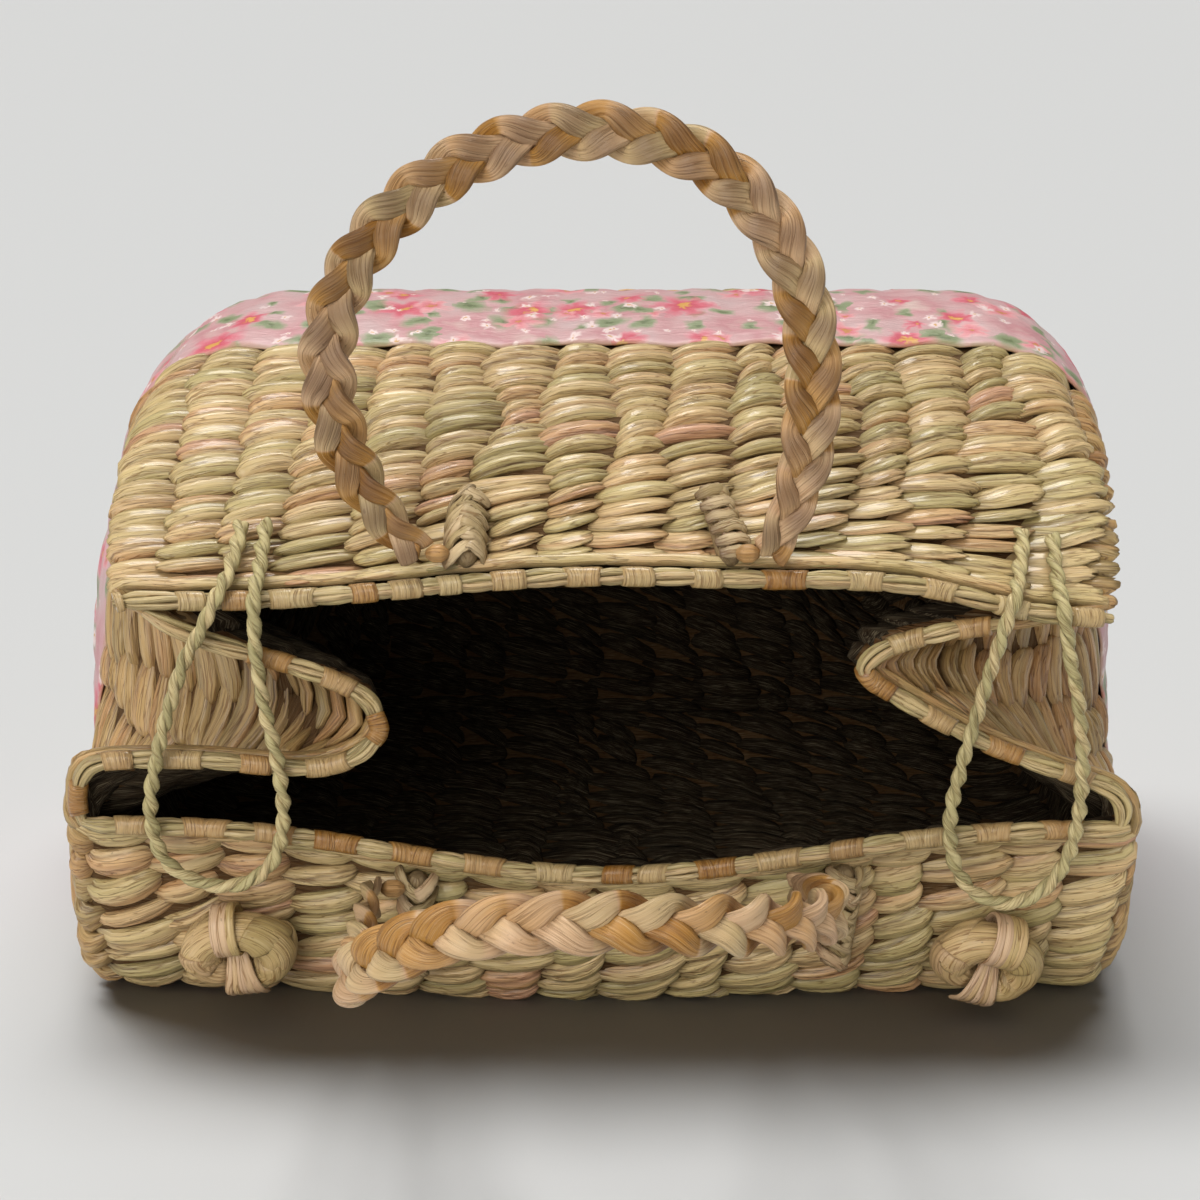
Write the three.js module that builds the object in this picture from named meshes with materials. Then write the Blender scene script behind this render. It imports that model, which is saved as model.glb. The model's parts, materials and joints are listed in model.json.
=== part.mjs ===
// Seagrass picnic basket, lying on its front wall with the mouth towards -Y.
// Millimetres. X runs along the basket's width, Y from the mouth to the base, Z up from the floor.
import * as THREE from 'three';

// Body: the twined shell
const bodyDepth = 235; // mouth to base, the basket's height when it stands
const crownHeight = 247; // front wall to back wall at the fullest place
const bodyHalfWidth = 213; // half the width over the bulging ends
const baseHalfWidth = 173; // half the flat base
const wallThickness = 7;
const mouthCornerCut = 14;
const foldCut = 9; // the same at the sharp inward fold of each end

// Mouth, as it stands open
const mouthBackLeft = { x: -181, z: 179 };
const mouthBackRight = { x: 191, z: 172 };
const mouthFrontLeft = { x: -196, z: 84 };
const mouthFrontRight = { x: 201, z: 82 };
const mouthGussetLeft = { x: -194, z: 115 }; // where the front corners turn back into the end folds
const mouthGussetRight = { x: 194.5, z: 103 };
const foldLeft = { x: -75, z: 125 };
const foldRight = { x: 94, z: 149 };
const backRimArch = 12; // rise of the back rim's middle over its corners
const rimLift = 8.5; // the same rise over the right fold
const frontRimSag = 19.5; // drop of the front rim's middle under its corners
const foldSag = 9.5; // drop of the left fold's lower half towards its tip
const gussetBow = 8.5; // rise of the left fold's upper half near its tip
const cornerDroop = 6; // and its drop near the back wall
const pinchedBow = 4; // rise of the right fold's upper half, close under the back wall

// Rim: a cane along the mouth's edge with strips bound round it
const caneRadius = 3.4;
const bindingLift = 0.7;
const bindingPitch = 26;
const seat = 0.3; // clearance between pieces that touch
const seam = 0.25; // half the gap where two panels of the shell meet

// Printed band round the body, glued on the weave
const bandStart = 0.475; // as shares of the way from the mouth to the base
const bandEnd = 0.8;
const bandThickness = 0.7;
const bandSink = 0.2; // how far its face lies under the stitches round it

// Plaited handles; a handle's feet stand footSpread of its half width from its middle
const plaitReach = 5.35; // a strand's swing to each side of the plait's middle
const plaitDepth = 4.4;
const crossingEase = 0.7; // how much later a strand turns back than an even swing would
const strandHalfWidth = 3.5;
const strandHalfThickness = 1.7;
const strandRoll = 28; // degrees a strand leans as it rounds the plait's edge
const plaitPeriod = 49; // length in which a strand returns to its side
const footTaper = 0.72; // size of the plait where it is lashed down
const backHandle = {
  name: 'back_handle', rise: 148.5, halfWidth: 83.5, footSpread: 0.743, centreX: -2.5,
  sway: -8, twist: 0, bow: 0, lean: 0, wall: 'back_wall', footShare: 0.005, standoff: 8,
  lashFrom: 0.003, lashSides: [1, -1], lashDrift: [2, -7],
};
const frontHandle = {
  name: 'front_handle', rise: 156, halfWidth: 81, footSpread: 0.963, centreX: -6,
  sway: 3, twist: 11, bow: 13, lean: 67, wall: 'front_wall', footShare: 0.016, standoff: 10.2,
  lashFrom: 0.014, lashSides: [1, 1], lashDrift: [0, 0],
};

const plaitSteps = 10; // in one period
// Lashings that tie each handle foot down the wall
const lashingLength = 40;
const lashingHalfWidth = 7;
const lashingHeight = 12;
const lashingKnots = 5;
const lashingAside = 16; // from the middle of the plait's foot
const stubRadius = 3.6;

// Toggles and closure loops
const rollRadius = 13.5; // ring radius of the knotted roll
const rollThickness = 8.4; // radius of the roll itself
const tieRadius = 1.7;
const cordDiameter = 5;
const toggles = {
  left_toggle: { x: -136, down: 0.11, tilt: 8 },
  right_toggle: { x: 147, down: 0.125, tilt: -18 },
};
// Each loop's way from one stitch of the back wall over the rim, round its end and back
const leftLoopPoints = [
  [-129.5, 22, 196.9], [-130, 13, 191.4], [-132, 3, 184.7], [-134.3, -5.2, 180.7], [-136.5, -7.3, 176],
  [-141, -7.8, 167], [-148, -7.8, 154], [-156, -7.8, 131], [-162, -7.8, 107], [-163, -7.8, 91],
  [-159, -7.8, 77], [-149, -8, 69], [-137, -8, 66.5], [-126, -8, 70], [-118, -7.8, 80],
  [-115, -7.8, 95], [-116, -7.8, 115], [-120, -7.8, 138], [-122, -7.8, 158], [-122, -7.3, 175],
  [-121.5, -5.2, 181.9], [-121, 3, 185.9], [-120.8, 13, 192], [-120.5, 22, 197.4],
];
const rightLoopPoints = [
  [152, 22, 194], [151, 13, 188.5], [148.5, 3, 182.1], [146.5, -5.2, 178.2], [144.5, -7.2, 172.5],
  [142, -7.8, 164], [138, -7.8, 148], [133, -7.8, 126], [128.5, -7.8, 104], [127.5, -7.8, 88],
  [131, -7.8, 73], [139, -8, 63], [151, -8, 59.5], [163, -8, 65], [171, -7.8, 78],
  [174, -7.8, 95], [174, -7.8, 117], [171, -7.8, 139], [167, -7.8, 156], [164.5, -7.2, 169],
  [163.5, -5.2, 175.5], [163, 3, 179.5], [163, 13, 185.8], [163.5, 22, 192],
];

const grass = (color, roughness) => new THREE.MeshStandardMaterial({ color, roughness, metalness: 0 });
const materials = {
  weave: grass(0xc9b27c, 0.6),
  cane: grass(0xd2bf8c, 0.5),
  plait: grass(0xc8a878, 0.55),
  lashing: grass(0xb9a878, 0.6),
  roll: grass(0xb8a66a, 0.55),
  cord: grass(0xaeaa78, 0.65),
  print: grass(0xe6b3bd, 0.45),
};

const vector = (x, y, z) => new THREE.Vector3(x, y, z);
const lerp = THREE.MathUtils.lerp;

// Uniform Catmull-Rom through points, t from 0 to 1; the last stretch leaves along endTangent
function spline(points, t, endTangent) {
  const last = points.length - 1;
  const i = Math.min(Math.floor(t * last), last - 1);
  const s = t * last - i;
  const start = points[0].clone().multiplyScalar(2).sub(points[1]);
  const end = points[last - 1].clone().addScaledVector(endTangent, 2);
  const [a, b, c, d] = [points[i - 1] ?? start, points[i], points[i + 1], points[i + 2] ?? end];
  const at = (k) => 0.5 * (2 * b[k] + (c[k] - a[k]) * s
    + (2 * a[k] - 5 * b[k] + 4 * c[k] - d[k]) * s * s
    + (3 * b[k] - a[k] - 3 * c[k] + d[k]) * s * s * s);
  return vector(at('x'), at('y'), at('z'));
}

// Long guides from the mouth to the base: the corners of the body's cross-section
const mouthY = caneRadius + bindingLift + seat;
const backDepths = [mouthY, 0.215, 0.44, 0.67, 0.875, 1];
const frontDepths = [mouthY, 0.125, 0.335, 0.58, 0.83, 1];
const foldDepths = [mouthY, 0.19, 0.39, 0.625, 0.85, 1];
const gussetDepths = [mouthY, 0.14, 0.345, 0.595, 0.835, 1];
const depthAt = (shares) => shares.map((share, i) => (i === 0 ? share : share * bodyDepth));
const backHeights = [null, 0.835, 0.93, 0.98, 0.97, 0.84].map((share) => share * crownHeight);
const frontHeights = [null, 0.03, 0, 0, 0.006, 0.15].map((share) => share * crownHeight);
const foldHeight = 0.5 * crownHeight;

function cornerGuide(mouth, depths, heights, widths, side) {
  return depthAt(depths).map((y, i) => (
    i === 0 ? vector(mouth.x, y, mouth.z) : vector(side * widths[i], y, heights[i])
  ));
}

const widthsAt = (shares, atBase = 1) => (
  [null, ...shares.map((share) => share * bodyHalfWidth), atBase * baseHalfWidth]
);
const backLeftWidths = widthsAt([0.89, 0.87, 0.84, 0.8], 0.93);
const backRightWidths = widthsAt([0.935, 0.93, 0.92, 0.895], 0.97);
const frontWidths = widthsAt([0.939, 0.958, 0.967, 0.948]);
const gussetWidths = widthsAt([0.953, 0.981, 0.991, 0.972]);
const gussetHeights = [null, 0.283, 0.235, 0.227, 0.231, 0.251].map((share) => share * crownHeight);

function foldGuide(mouth, side) {
  const full = side * bodyHalfWidth;
  const xs = [mouth.x, lerp(mouth.x, full, 0.36), lerp(mouth.x, full, 0.8), full, full * 0.98,
    side * (baseHalfWidth + 6)];
  const zs = [mouth.z, lerp(mouth.z, foldHeight, 0.4), foldHeight, foldHeight, foldHeight, foldHeight];
  return depthAt(foldDepths).map((y, i) => vector(xs[i], y, zs[i]));
}

// Where the end wall's lower corner lies: a bend at the mouth that straightens with depth
function gussetGuide(mouth, side) {
  return cornerGuide(mouth, gussetDepths, gussetHeights, gussetWidths, side);
}

// The eight corners of a cross-section, in order round the body
const guides = [
  cornerGuide(mouthBackLeft, backDepths, backHeights, backLeftWidths, -1),
  cornerGuide(mouthBackRight, backDepths, backHeights, backRightWidths, 1),
  foldGuide(foldRight, 1),
  gussetGuide(mouthGussetRight, 1),
  cornerGuide(mouthFrontRight, frontDepths, frontHeights, frontWidths, 1),
  cornerGuide(mouthFrontLeft, frontDepths, frontHeights, frontWidths, -1),
  gussetGuide(mouthGussetLeft, -1),
  foldGuide(foldLeft, -1),
];
const corners = guides.length;
// Where each guide turns into the plane of the base
const baseTurn = [
  vector(14, 0, -34), vector(-14, 0, -34), vector(-34, 0, 0), vector(-34, 0, 6),
  vector(-14, 0, 34), vector(14, 0, 34), vector(34, 0, 6), vector(34, 0, 0),
];
// How far each rounded corner reaches along the walls, at the mouth and deep in the body
const mouthCuts = [mouthCornerCut, mouthCornerCut, foldCut, 9, 9, 12, 12, foldCut];
const innerMouthCuts = [7, 7, 14, 6, 6, 8, 8, 33];
const deepCuts = [52, 52, 30, 20, 32, 32, 20, 30];
const ease = (t) => THREE.MathUtils.smoothstep(t, 0, 0.6);
const cutAt = (i, t, cuts) => lerp(cuts[i], deepCuts[i], ease(t));

const guideStep = 1e-3;
const outerCorner = (i, t) => spline(guides[i], t, baseTurn[i]);
function alongGuide(i, t) {
  const a = outerCorner(i, Math.max(0, t - guideStep));
  return outerCorner(i, Math.min(1, t + guideStep)).sub(a).normalize();
}
// From an outer corner to the inner one, so that both walls that meet there keep their thickness
function mitre(i, t) {
  const along = alongGuide(i, t);
  const here = outerCorner(i, t);
  const towards = (j) => outerCorner(j, t).sub(here).normalize();
  const ahead = along.clone().cross(towards((i + 1) % corners)).normalize();
  const behind = towards((i + corners - 1) % corners).cross(along).normalize();
  const sum = ahead.clone().add(behind);
  return sum.multiplyScalar(wallThickness / (1 + ahead.dot(behind)));
}
const innerCorner = (i, t) => outerCorner(i, t).add(mitre(i, t));

// Panels of the shell: each runs from the middle of one rounded corner to the middle of the next
const arch = (u) => Math.sin(Math.PI * u);
const panels = {
  back_wall: {
    turns: [0, 1], bow: (u) => backRimArch * arch(u) ** 3 + rimLift * arch(u ** 2.8) ** 4,
    fade: 1, across: 16,
  },
  right_gusset_upper: {
    turns: [1, 2], bow: (u) => pinchedBow * arch(u ** 2.4), fade: 1, across: 5,
  },
  right_gusset_lower: {
    turns: [2, 4], bow: (u) => -foldSag / 2 * arch(u ** 0.75) ** 2, fade: 1, across: 7,
  },
  front_wall: { turns: [4, 5], bow: (u) => -frontRimSag * arch(u) ** 3, fade: 1.6, across: 16 },
  left_gusset_lower: {
    turns: [5, 7], bow: (u) => -foldSag * arch(u ** 3.4), fade: 1, across: 7,
  },
  left_gusset_upper: {
    turns: [7, 8], bow: (u) => gussetBow * arch(u ** 0.4) - cornerDroop * arch(u ** 1.5),
    fade: 1, across: 5,
  },
};

const bezier = (a, v, b, s) => a.clone().multiplyScalar((1 - s) ** 2)
  .addScaledVector(v, 2 * s * (1 - s)).addScaledVector(b, s * s);

// One rounded corner of the cross-section at t: where its curve starts, its corner and where it ends
function roundedCorner(k, t, inner) {
  const corner = inner ? innerCorner : outerCorner;
  const here = corner(k, t);
  const [before, after] = [corner((k + corners - 1) % corners, t), corner((k + 1) % corners, t)];
  const room = Math.min(here.distanceTo(before), here.distanceTo(after)) / 2 - 0.5;
  const cut = Math.min(cutAt(k, t, inner ? innerMouthCuts : mouthCuts), room);
  const reach = (there) => here.clone().addScaledVector(there.sub(here).normalize(), cut);
  return { start: reach(before), here, end: reach(after) };
}

// One panel's line across at t, as evenly marked points; trim keeps it clear of its neighbours
function panelLine(panel, t, inner, trim, marks) {
  const line = [];
  const [first, last] = panel.turns;
  for (let k = first; k <= last; k += 1) {
    const turn = roundedCorner(k % corners, t, inner);
    const trimmed = trim / turn.end.distanceTo(turn.start);
    const sFrom = k === first ? 0.5 + trimmed : 0;
    const sTo = k === last ? 0.5 - trimmed : 1;
    for (let n = 0; n <= 4; n += 1) {
      line.push(bezier(turn.start, turn.here, turn.end, lerp(sFrom, sTo, n / 4)));
    }
  }
  return marks.map((u) => {
    const point = pointAlong(line, u);
    point.z += panel.bow(u) * (1 - ease(panel.fade * t));
    return point;
  });
}

function pointAlong(line, u) {
  const lengths = line.slice(1).map((point, k) => point.distanceTo(line[k]));
  let left = u * lengths.reduce((sum, length) => sum + length, 0);
  for (let k = 0; k < lengths.length; k += 1) {
    if (left <= lengths[k] || k === lengths.length - 1) {
      return line[k].clone().lerp(line[k + 1], Math.min(1, left / lengths[k]));
    }
    left -= lengths[k];
  }
  return line[0].clone();
}

// A point of the shell: u across its panel, t from mouth to base, sunk below the outer face
function shellLine(panel, t, sink, trim, marks) {
  const outer = panelLine(panel, t, false, trim, marks);
  const inner = panelLine(panel, t, true, trim, marks);
  return outer.map((point, k) => {
    const face = point.clone();
    face.z = Math.max(0, face.z);
    const sunk = face.lerp(inner[k], sink / wallThickness);
    sunk.y = Math.max(mouthY, sunk.y);
    return sunk;
  });
}

const evenMarks = (count) => Array.from({ length: count + 1 }, (_, k) => k / count);
const steps = (from, to, count) => evenMarks(count).map((s) => lerp(from, to, s));

// Indexed closed surface from rings of equal length; ends are closed by fans
function loft(rings, closed = false) {
  const size = rings[0].length;
  const points = rings.flat();
  const faces = [];
  const spans = closed ? rings.length : rings.length - 1;
  for (let r = 0; r < spans; r += 1) {
    const next = (r + 1) % rings.length;
    for (let k = 0; k < size; k += 1) {
      const [a, b] = [r * size + k, r * size + ((k + 1) % size)];
      const [c, d] = [next * size + k, next * size + ((k + 1) % size)];
      faces.push(a, b, d, a, d, c);
    }
  }
  if (!closed) {
    const cap = (ring, start, flip) => {
      const centre = ring.reduce((sum, point) => sum.add(point), vector(0, 0, 0)).divideScalar(size);
      points.push(centre);
      const middle = points.length - 1;
      for (let k = 0; k < size; k += 1) {
        const [a, b] = [start + k, start + ((k + 1) % size)];
        faces.push(...(flip ? [middle, b, a] : [middle, a, b]));
      }
    };
    cap(rings[0], 0, true);
    cap(rings.at(-1), (rings.length - 1) * size, false);
  }
  return closedGeometry(points, faces);
}

// A plate between an outer and an inner grid of points
function plate(outer, inner) {
  const [rows, columns] = [outer.length, outer[0].length];
  const points = [...outer.flat(), ...inner.flat()];
  const back = rows * columns;
  const faces = [];
  const quad = (a, b, c, d) => faces.push(a, b, c, a, c, d);
  for (let r = 0; r < rows - 1; r += 1) {
    for (let k = 0; k < columns - 1; k += 1) {
      const a = r * columns + k;
      quad(a + 1, a + columns + 1, a + columns, a);
      quad(back + a, back + a + columns, back + a + columns + 1, back + a + 1);
    }
  }
  for (let k = 0; k < columns - 1; k += 1) {
    const end = (rows - 1) * columns + k;
    quad(k, back + k, back + k + 1, k + 1);
    quad(end + 1, back + end + 1, back + end, end);
  }
  for (let r = 0; r < rows - 1; r += 1) {
    const left = r * columns;
    const right = left + columns - 1;
    quad(left + columns, back + left + columns, back + left, left);
    quad(back + right, back + right + columns, right + columns, right);
  }
  return closedGeometry(points, faces);
}

// Faces are turned to point out when the enclosed volume comes out negative
function closedGeometry(points, faces) {
  let volume = 0;
  for (let f = 0; f < faces.length; f += 3) {
    const [a, b, c] = [points[faces[f]], points[faces[f + 1]], points[faces[f + 2]]];
    volume += a.dot(b.clone().cross(c));
  }
  const index = volume < 0 ? faces.toReversed() : faces;
  const geometry = new THREE.BufferGeometry();
  geometry.setAttribute('position', new THREE.Float32BufferAttribute(points.flatMap((p) => p.toArray()), 3));
  geometry.setIndex(index);
  geometry.computeVertexNormals();
  return geometry;
}

const basket = new THREE.Group();
function addPiece(name, geometry, material, parent = basket) {
  const mesh = new THREE.Mesh(geometry, material);
  mesh.name = name;
  parent.add(mesh);
  return mesh;
}

// Shell panels, with a shallow bed for the printed band
const bandBed = bandSink + bandThickness + seat;
const lip = 0.004;
const bandMarks = steps(bandStart, bandEnd, 4).slice(1, -1);
const bedSteps = [bandStart - lip, bandStart, ...bandMarks, bandEnd, bandEnd + lip];
const wallSteps = [...steps(0, bandStart - 0.07, 6), ...bedSteps, ...steps(bandEnd + 0.07, 1, 4)];
const inBed = (t) => t >= bandStart && t <= bandEnd;

for (const [name, panel] of Object.entries(panels)) {
  const marks = evenMarks(panel.across);
  const outer = wallSteps.map((t) => shellLine(panel, t, inBed(t) ? bandBed : 0, seam, marks));
  const inner = wallSteps.map((t) => shellLine(panel, t, wallThickness, seam, marks));
  addPiece(name, plate(outer, inner), materials.weave);
}

// One closed line round all six panels
function girth(t, sink) {
  return Object.values(panels).flatMap((panel) => {
    const marks = evenMarks(panel.across);
    return shellLine(panel, t, sink, 0, marks).slice(0, -1);
  });
}

// Base mat inside the walls' last row
function baseMat() {
  const shrink = (line) => {
    const centre = vector(0, line[0].y, foldHeight);
    return line.map((point) => {
      const inward = centre.clone().sub(point).setY(0).normalize();
      return point.clone().addScaledVector(inward, seat * 1.3);
    });
  };
  return loft([shrink(girth(1, 0)), shrink(girth(1, wallThickness))]);
}
addPiece('base_mat', baseMat(), materials.weave);

// Printed band: a skin in the walls' shallow bed
const bandSteps = [bandStart + lip / 2, ...bandMarks, bandEnd - lip / 2];
const bandRings = [
  ...bandSteps.map((t) => girth(t, bandSink)),
  ...bandSteps.toReversed().map((t) => girth(t, bandSink + bandThickness)),
];
addPiece('floral_print_band', loft(bandRings, true), materials.print);

// A round or oval section swept along points; each has its own side and up directions
function sweep(path, section) {
  return path.map(({ centre, side, up, width, height }) => section.map(([a, b]) => (
    centre.clone().addScaledVector(side, a * width).addScaledVector(up, b * height)
  )));
}
const circle = (sides) => Array.from({ length: sides }, (_, k) => {
  const angle = (2 * Math.PI * (k + 0.5)) / sides;
  return [Math.cos(angle), Math.sin(angle)];
});

function framesAlong(points, upAt, size) {
  return points.map((centre, k) => {
    const before = points[Math.max(0, k - 1)];
    const after = points[Math.min(points.length - 1, k + 1)];
    const along = after.clone().sub(before).normalize();
    const side = along.clone().cross(upAt(k)).normalize();
    const up = side.clone().cross(along).normalize();
    return { centre, side, up, ...size(k) };
  });
}

// Rim canes lie on the mouth's edge, thicker where a strip is bound round them
const half = wallThickness / 2;
function rimLine(names, sunk) {
  const line = names.flatMap((name, n) => {
    const marks = evenMarks(panels[name].across * 3);
    const face = shellLine(panels[name], 0, 0, 0, marks);
    const middle = shellLine(panels[name], 0, half, 0, marks);
    const edge = face.map((point, k) => {
      const nearFold = panels[name].turns[1] % corners === 0 ? 1 - marks[k] : marks[k];
      const share = sunk[n] === 0 ? 1 : THREE.MathUtils.smoothstep(nearFold, 0.6, 0.9);
      return vector(point.x, 0, point.z + sunk[n]).lerp(middle[k], names.length > 1 ? share : 0);
    });
    return n < names.length - 1 ? edge.slice(0, -1) : edge;
  });
  return line.map((point) => point.setY(0));
}
const canes = {
  back_rim_cane: { names: ['back_wall'], sunk: [-half], start: 4, end: 4 },
  right_gusset_rim_cane: {
    names: ['right_gusset_upper', 'right_gusset_lower'], sunk: [half, 0], start: 50, end: 4,
  },
  front_rim_cane: { names: ['front_wall'], sunk: [half], start: 11, end: 6 },
  left_gusset_rim_cane: {
    names: ['left_gusset_lower', 'left_gusset_upper'], sunk: [0, half], start: 4, end: 26,
  },
};
const lengthOf = (line) => line.slice(1).reduce((sum, point, k) => sum + point.distanceTo(line[k]), 0);
for (const [name, cane] of Object.entries(canes)) {
  const edge = rimLine(cane.names, cane.sunk);
  const length = lengthOf(edge);
  const count = Math.round(length / bindingPitch) * 4;
  const points = steps(cane.start / length, 1 - cane.end / length, count).map((u) => pointAlong(edge, u));
  const frames = framesAlong(points, () => vector(0, 1, 0), (k) => {
    const radius = caneRadius + (k % 4 < 2 ? bindingLift : 0);
    return { width: radius, height: radius };
  });
  addPiece(name, loft(sweep(frames, circle(6))), materials.cane);
}

// The point where a line down the wall's normal meets its outer face, and that normal
basket.updateMatrixWorld(true);
const caster = new THREE.Raycaster();
function roughPoint(panel, x, t) {
  const line = shellLine(panel, t, 0, 0, evenMarks(64));
  return line.reduce((best, point) => (Math.abs(point.x - x) < Math.abs(best.x - x) ? point : best));
}
function onWall(name, x, t) {
  const panel = panels[name];
  const step = 0.01;
  const here = roughPoint(panel, x, t);
  const along = roughPoint(panel, x, t + step).sub(roughPoint(panel, x, Math.max(0, t - step)));
  const normal = vector(0, along.z, -along.y).normalize();
  if (name === 'back_wall') normal.negate();
  const start = vector(x, here.y, here.z).addScaledVector(normal, 60);
  caster.set(start, normal.clone().negate());
  const hit = caster.intersectObject(basket.getObjectByName(name))[0];
  return { point: hit.point, normal, along: along.normalize() };
}

const footOf = (handle) => handle.footSpread * handle.halfWidth;
// Plaited handles: three strands that cross in turn, on an arch between two feet
function archPoint(handle, share) {
  const footAngle = Math.acos(handle.footSpread);
  const angle = lerp(Math.PI + footAngle, -footAngle, share);
  const shoulder = handle.rise - handle.halfWidth;
  const drop = shoulder / Math.sin(footAngle);
  const z = shoulder + Math.sin(angle) * (Math.sin(angle) < 0 ? drop : handle.halfWidth);
  const high = z / handle.rise;
  const x = handle.centreX + handle.halfWidth * Math.cos(angle) + handle.sway * Math.sin(Math.PI * high);
  const warp = Math.sin(Math.PI * high) * (handle.twist * Math.cos(angle) - handle.bow);
  return vector(x, warp, z);
}

// Each strand is a flat ribbon: its broad face follows its own way across the plait
function plait(handle, sideways) {
  const arch = Array.from({ length: 121 }, (_, k) => archPoint(handle, k / 120));
  const turns = Math.round(lengthOf(arch) / plaitPeriod);
  const count = turns * plaitSteps;
  const middle = steps(0, 1, count).map((u) => pointAlong(arch, u));
  return [0, 1, 2].map((strand) => {
    const way = framesAlong(middle, () => vector(0, 1, 0), (k) => {
      const nearFoot = Math.min(k, count - k) / plaitSteps;
      const size = lerp(footTaper, 1, THREE.MathUtils.smoothstep(nearFoot, 0, 1));
      return { size, phase: 2 * Math.PI * (k / plaitSteps + strand / 3) };
    }).map(({ centre, side, up, size, phase }) => {
      const [lateral, normal] = sideways ? [up, side] : [side, up];
      const swing = plaitReach * Math.sin(phase) - crossingEase * Math.sin(3 * phase);
      const point = centre.clone().addScaledVector(lateral, swing * size)
        .addScaledVector(normal, plaitDepth * size * Math.sin(2 * phase));
      return { point, normal, size, phase };
    });
    const ribbon = framesAlong(way.map(({ point }) => point), (k) => way[k].normal, (k) => (
      { width: strandHalfWidth * way[k].size, height: strandHalfThickness * way[k].size }
    ));
    ribbon.forEach(({ side, up }, k) => {
      const lean = (sideways ? -1 : 1) * strandRoll * Math.cos(way[k].phase);
      const ahead = side.clone().cross(up);
      [side, up].forEach((axis) => axis.applyAxisAngle(ahead, THREE.MathUtils.degToRad(lean)));
    });
    return loft(sweep(ribbon, circle(8)));
  });
}

function placeHandle(handle, sideways) {
  const group = new THREE.Group();
  const feet = [-1, 1].map((side) => (
    onWall(handle.wall, handle.centreX + side * footOf(handle), handle.footShare)
  ));
  feet.forEach(({ point, normal }) => group.position.addScaledVector(point, 0.5)
    .addScaledVector(normal, handle.standoff / 2));
  group.position.x = 0;
  group.rotation.x = THREE.MathUtils.degToRad(handle.lean);
  plait(handle, sideways).forEach((geometry, strand) => {
    addPiece(`${handle.name}_strand_${'abc'[strand]}`, geometry, materials.plait, group);
  });
  basket.add(group);
  return group;
}

// Lashings: a ridge of half hitches down the wall beside each foot
const wallRun = 262; // length of a wall from mouth to base along its middle
function lashing(wall, x, from, drift) {
  const outline = [[-1, 0], [-0.82, 0.62], [0, 1], [0.82, 0.62], [1, 0], [0, 0]];
  const count = lashingKnots * 2;
  const rings = steps(from, from + lashingLength / wallRun, count).map((t, k) => {
    const swell = k % 2 === 0 ? 0.8 : 1;
    const middle = x + (drift * k) / count;
    const { normal } = onWall(wall, middle, t);
    return outline.map(([across, up]) => {
      const foot = onWall(wall, middle + across * lashingHalfWidth * swell, t).point;
      return foot.addScaledVector(normal, seat * 1.3 + up * lashingHeight * swell);
    });
  });
  return loft(rings);
}

// How far a foot's strands reach sideways in front of its stub
function footReach(group, foot, side) {
  group.updateWorldMatrix(true, true);
  const inwards = vector(-side, 0, 0);
  const clear = [0.1, 0.4, 0.7, 1].flatMap((share) => circle(32).map(([a, b]) => {
    const reach = share * stubRadius;
    caster.set(foot.clone().add(vector(side * handleWidth, a * reach, b * reach)), inwards);
    return caster.intersectObjects(group.children)[0]?.distance ?? Infinity;
  }));
  return handleWidth - Math.min(...clear);
}

// The cut core of the plait: a short round stub on the line the handle swings about, from the
// strands to the lashing
function stub(group, x, side, knots) {
  const start = vector(x, group.position.y, group.position.z);
  start.x += side * (footReach(group, start, side) + seat * 1.2);
  const outwards = vector(side, 0, 0);
  const rim = circle(8).map(([a, b]) => start.clone().add(vector(0, a * stubRadius, b * stubRadius)));
  const room = Math.min(...rim.map((point) => {
    caster.set(point, outwards);
    return caster.intersectObject(knots)[0]?.distance ?? Infinity;
  }));
  const frames = [0, 0.25, 1].map((share, k) => {
    const radius = stubRadius * (k === 0 ? 0.8 : 1);
    const centre = start.clone().addScaledVector(outwards, share * (room - seat * 1.2));
    return { centre, side: vector(0, 1, 0), up: vector(0, 0, 1), width: radius, height: radius };
  });
  return loft(sweep(frames, circle(8)));
}

const handleWidth = 2 * (plaitReach + strandHalfWidth);
for (const handle of [backHandle, frontHandle]) {
  const group = placeHandle(handle, handle === frontHandle);
  for (const [n, label] of ['left', 'right'].entries()) {
    const foot = handle.centreX + (n === 0 ? -1 : 1) * footOf(handle);
    const side = handle.lashSides[n];
    const x = foot + side * lashingAside;
    const ridge = lashing(handle.wall, x, handle.lashFrom, handle.lashDrift[n]);
    const knots = addPiece(`${handle.name}_${label}_lashing`, ridge, materials.lashing);
    addPiece(`${handle.name}_${label}_stub`, stub(group, foot, side, knots), materials.plait);
  }
}

// Toggles: a knotted roll held to the front wall by a tie through its middle
function ringGeometry(radius, thickness, height, around, sides) {
  const profile = Array.from({ length: sides + 1 }, (_, k) => {
    const angle = (2 * Math.PI * k) / sides;
    return new THREE.Vector2(radius + thickness * Math.cos(angle), height * Math.sin(angle));
  });
  profile[sides].copy(profile[0]);
  return new THREE.LatheGeometry(profile, around);
}
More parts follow.
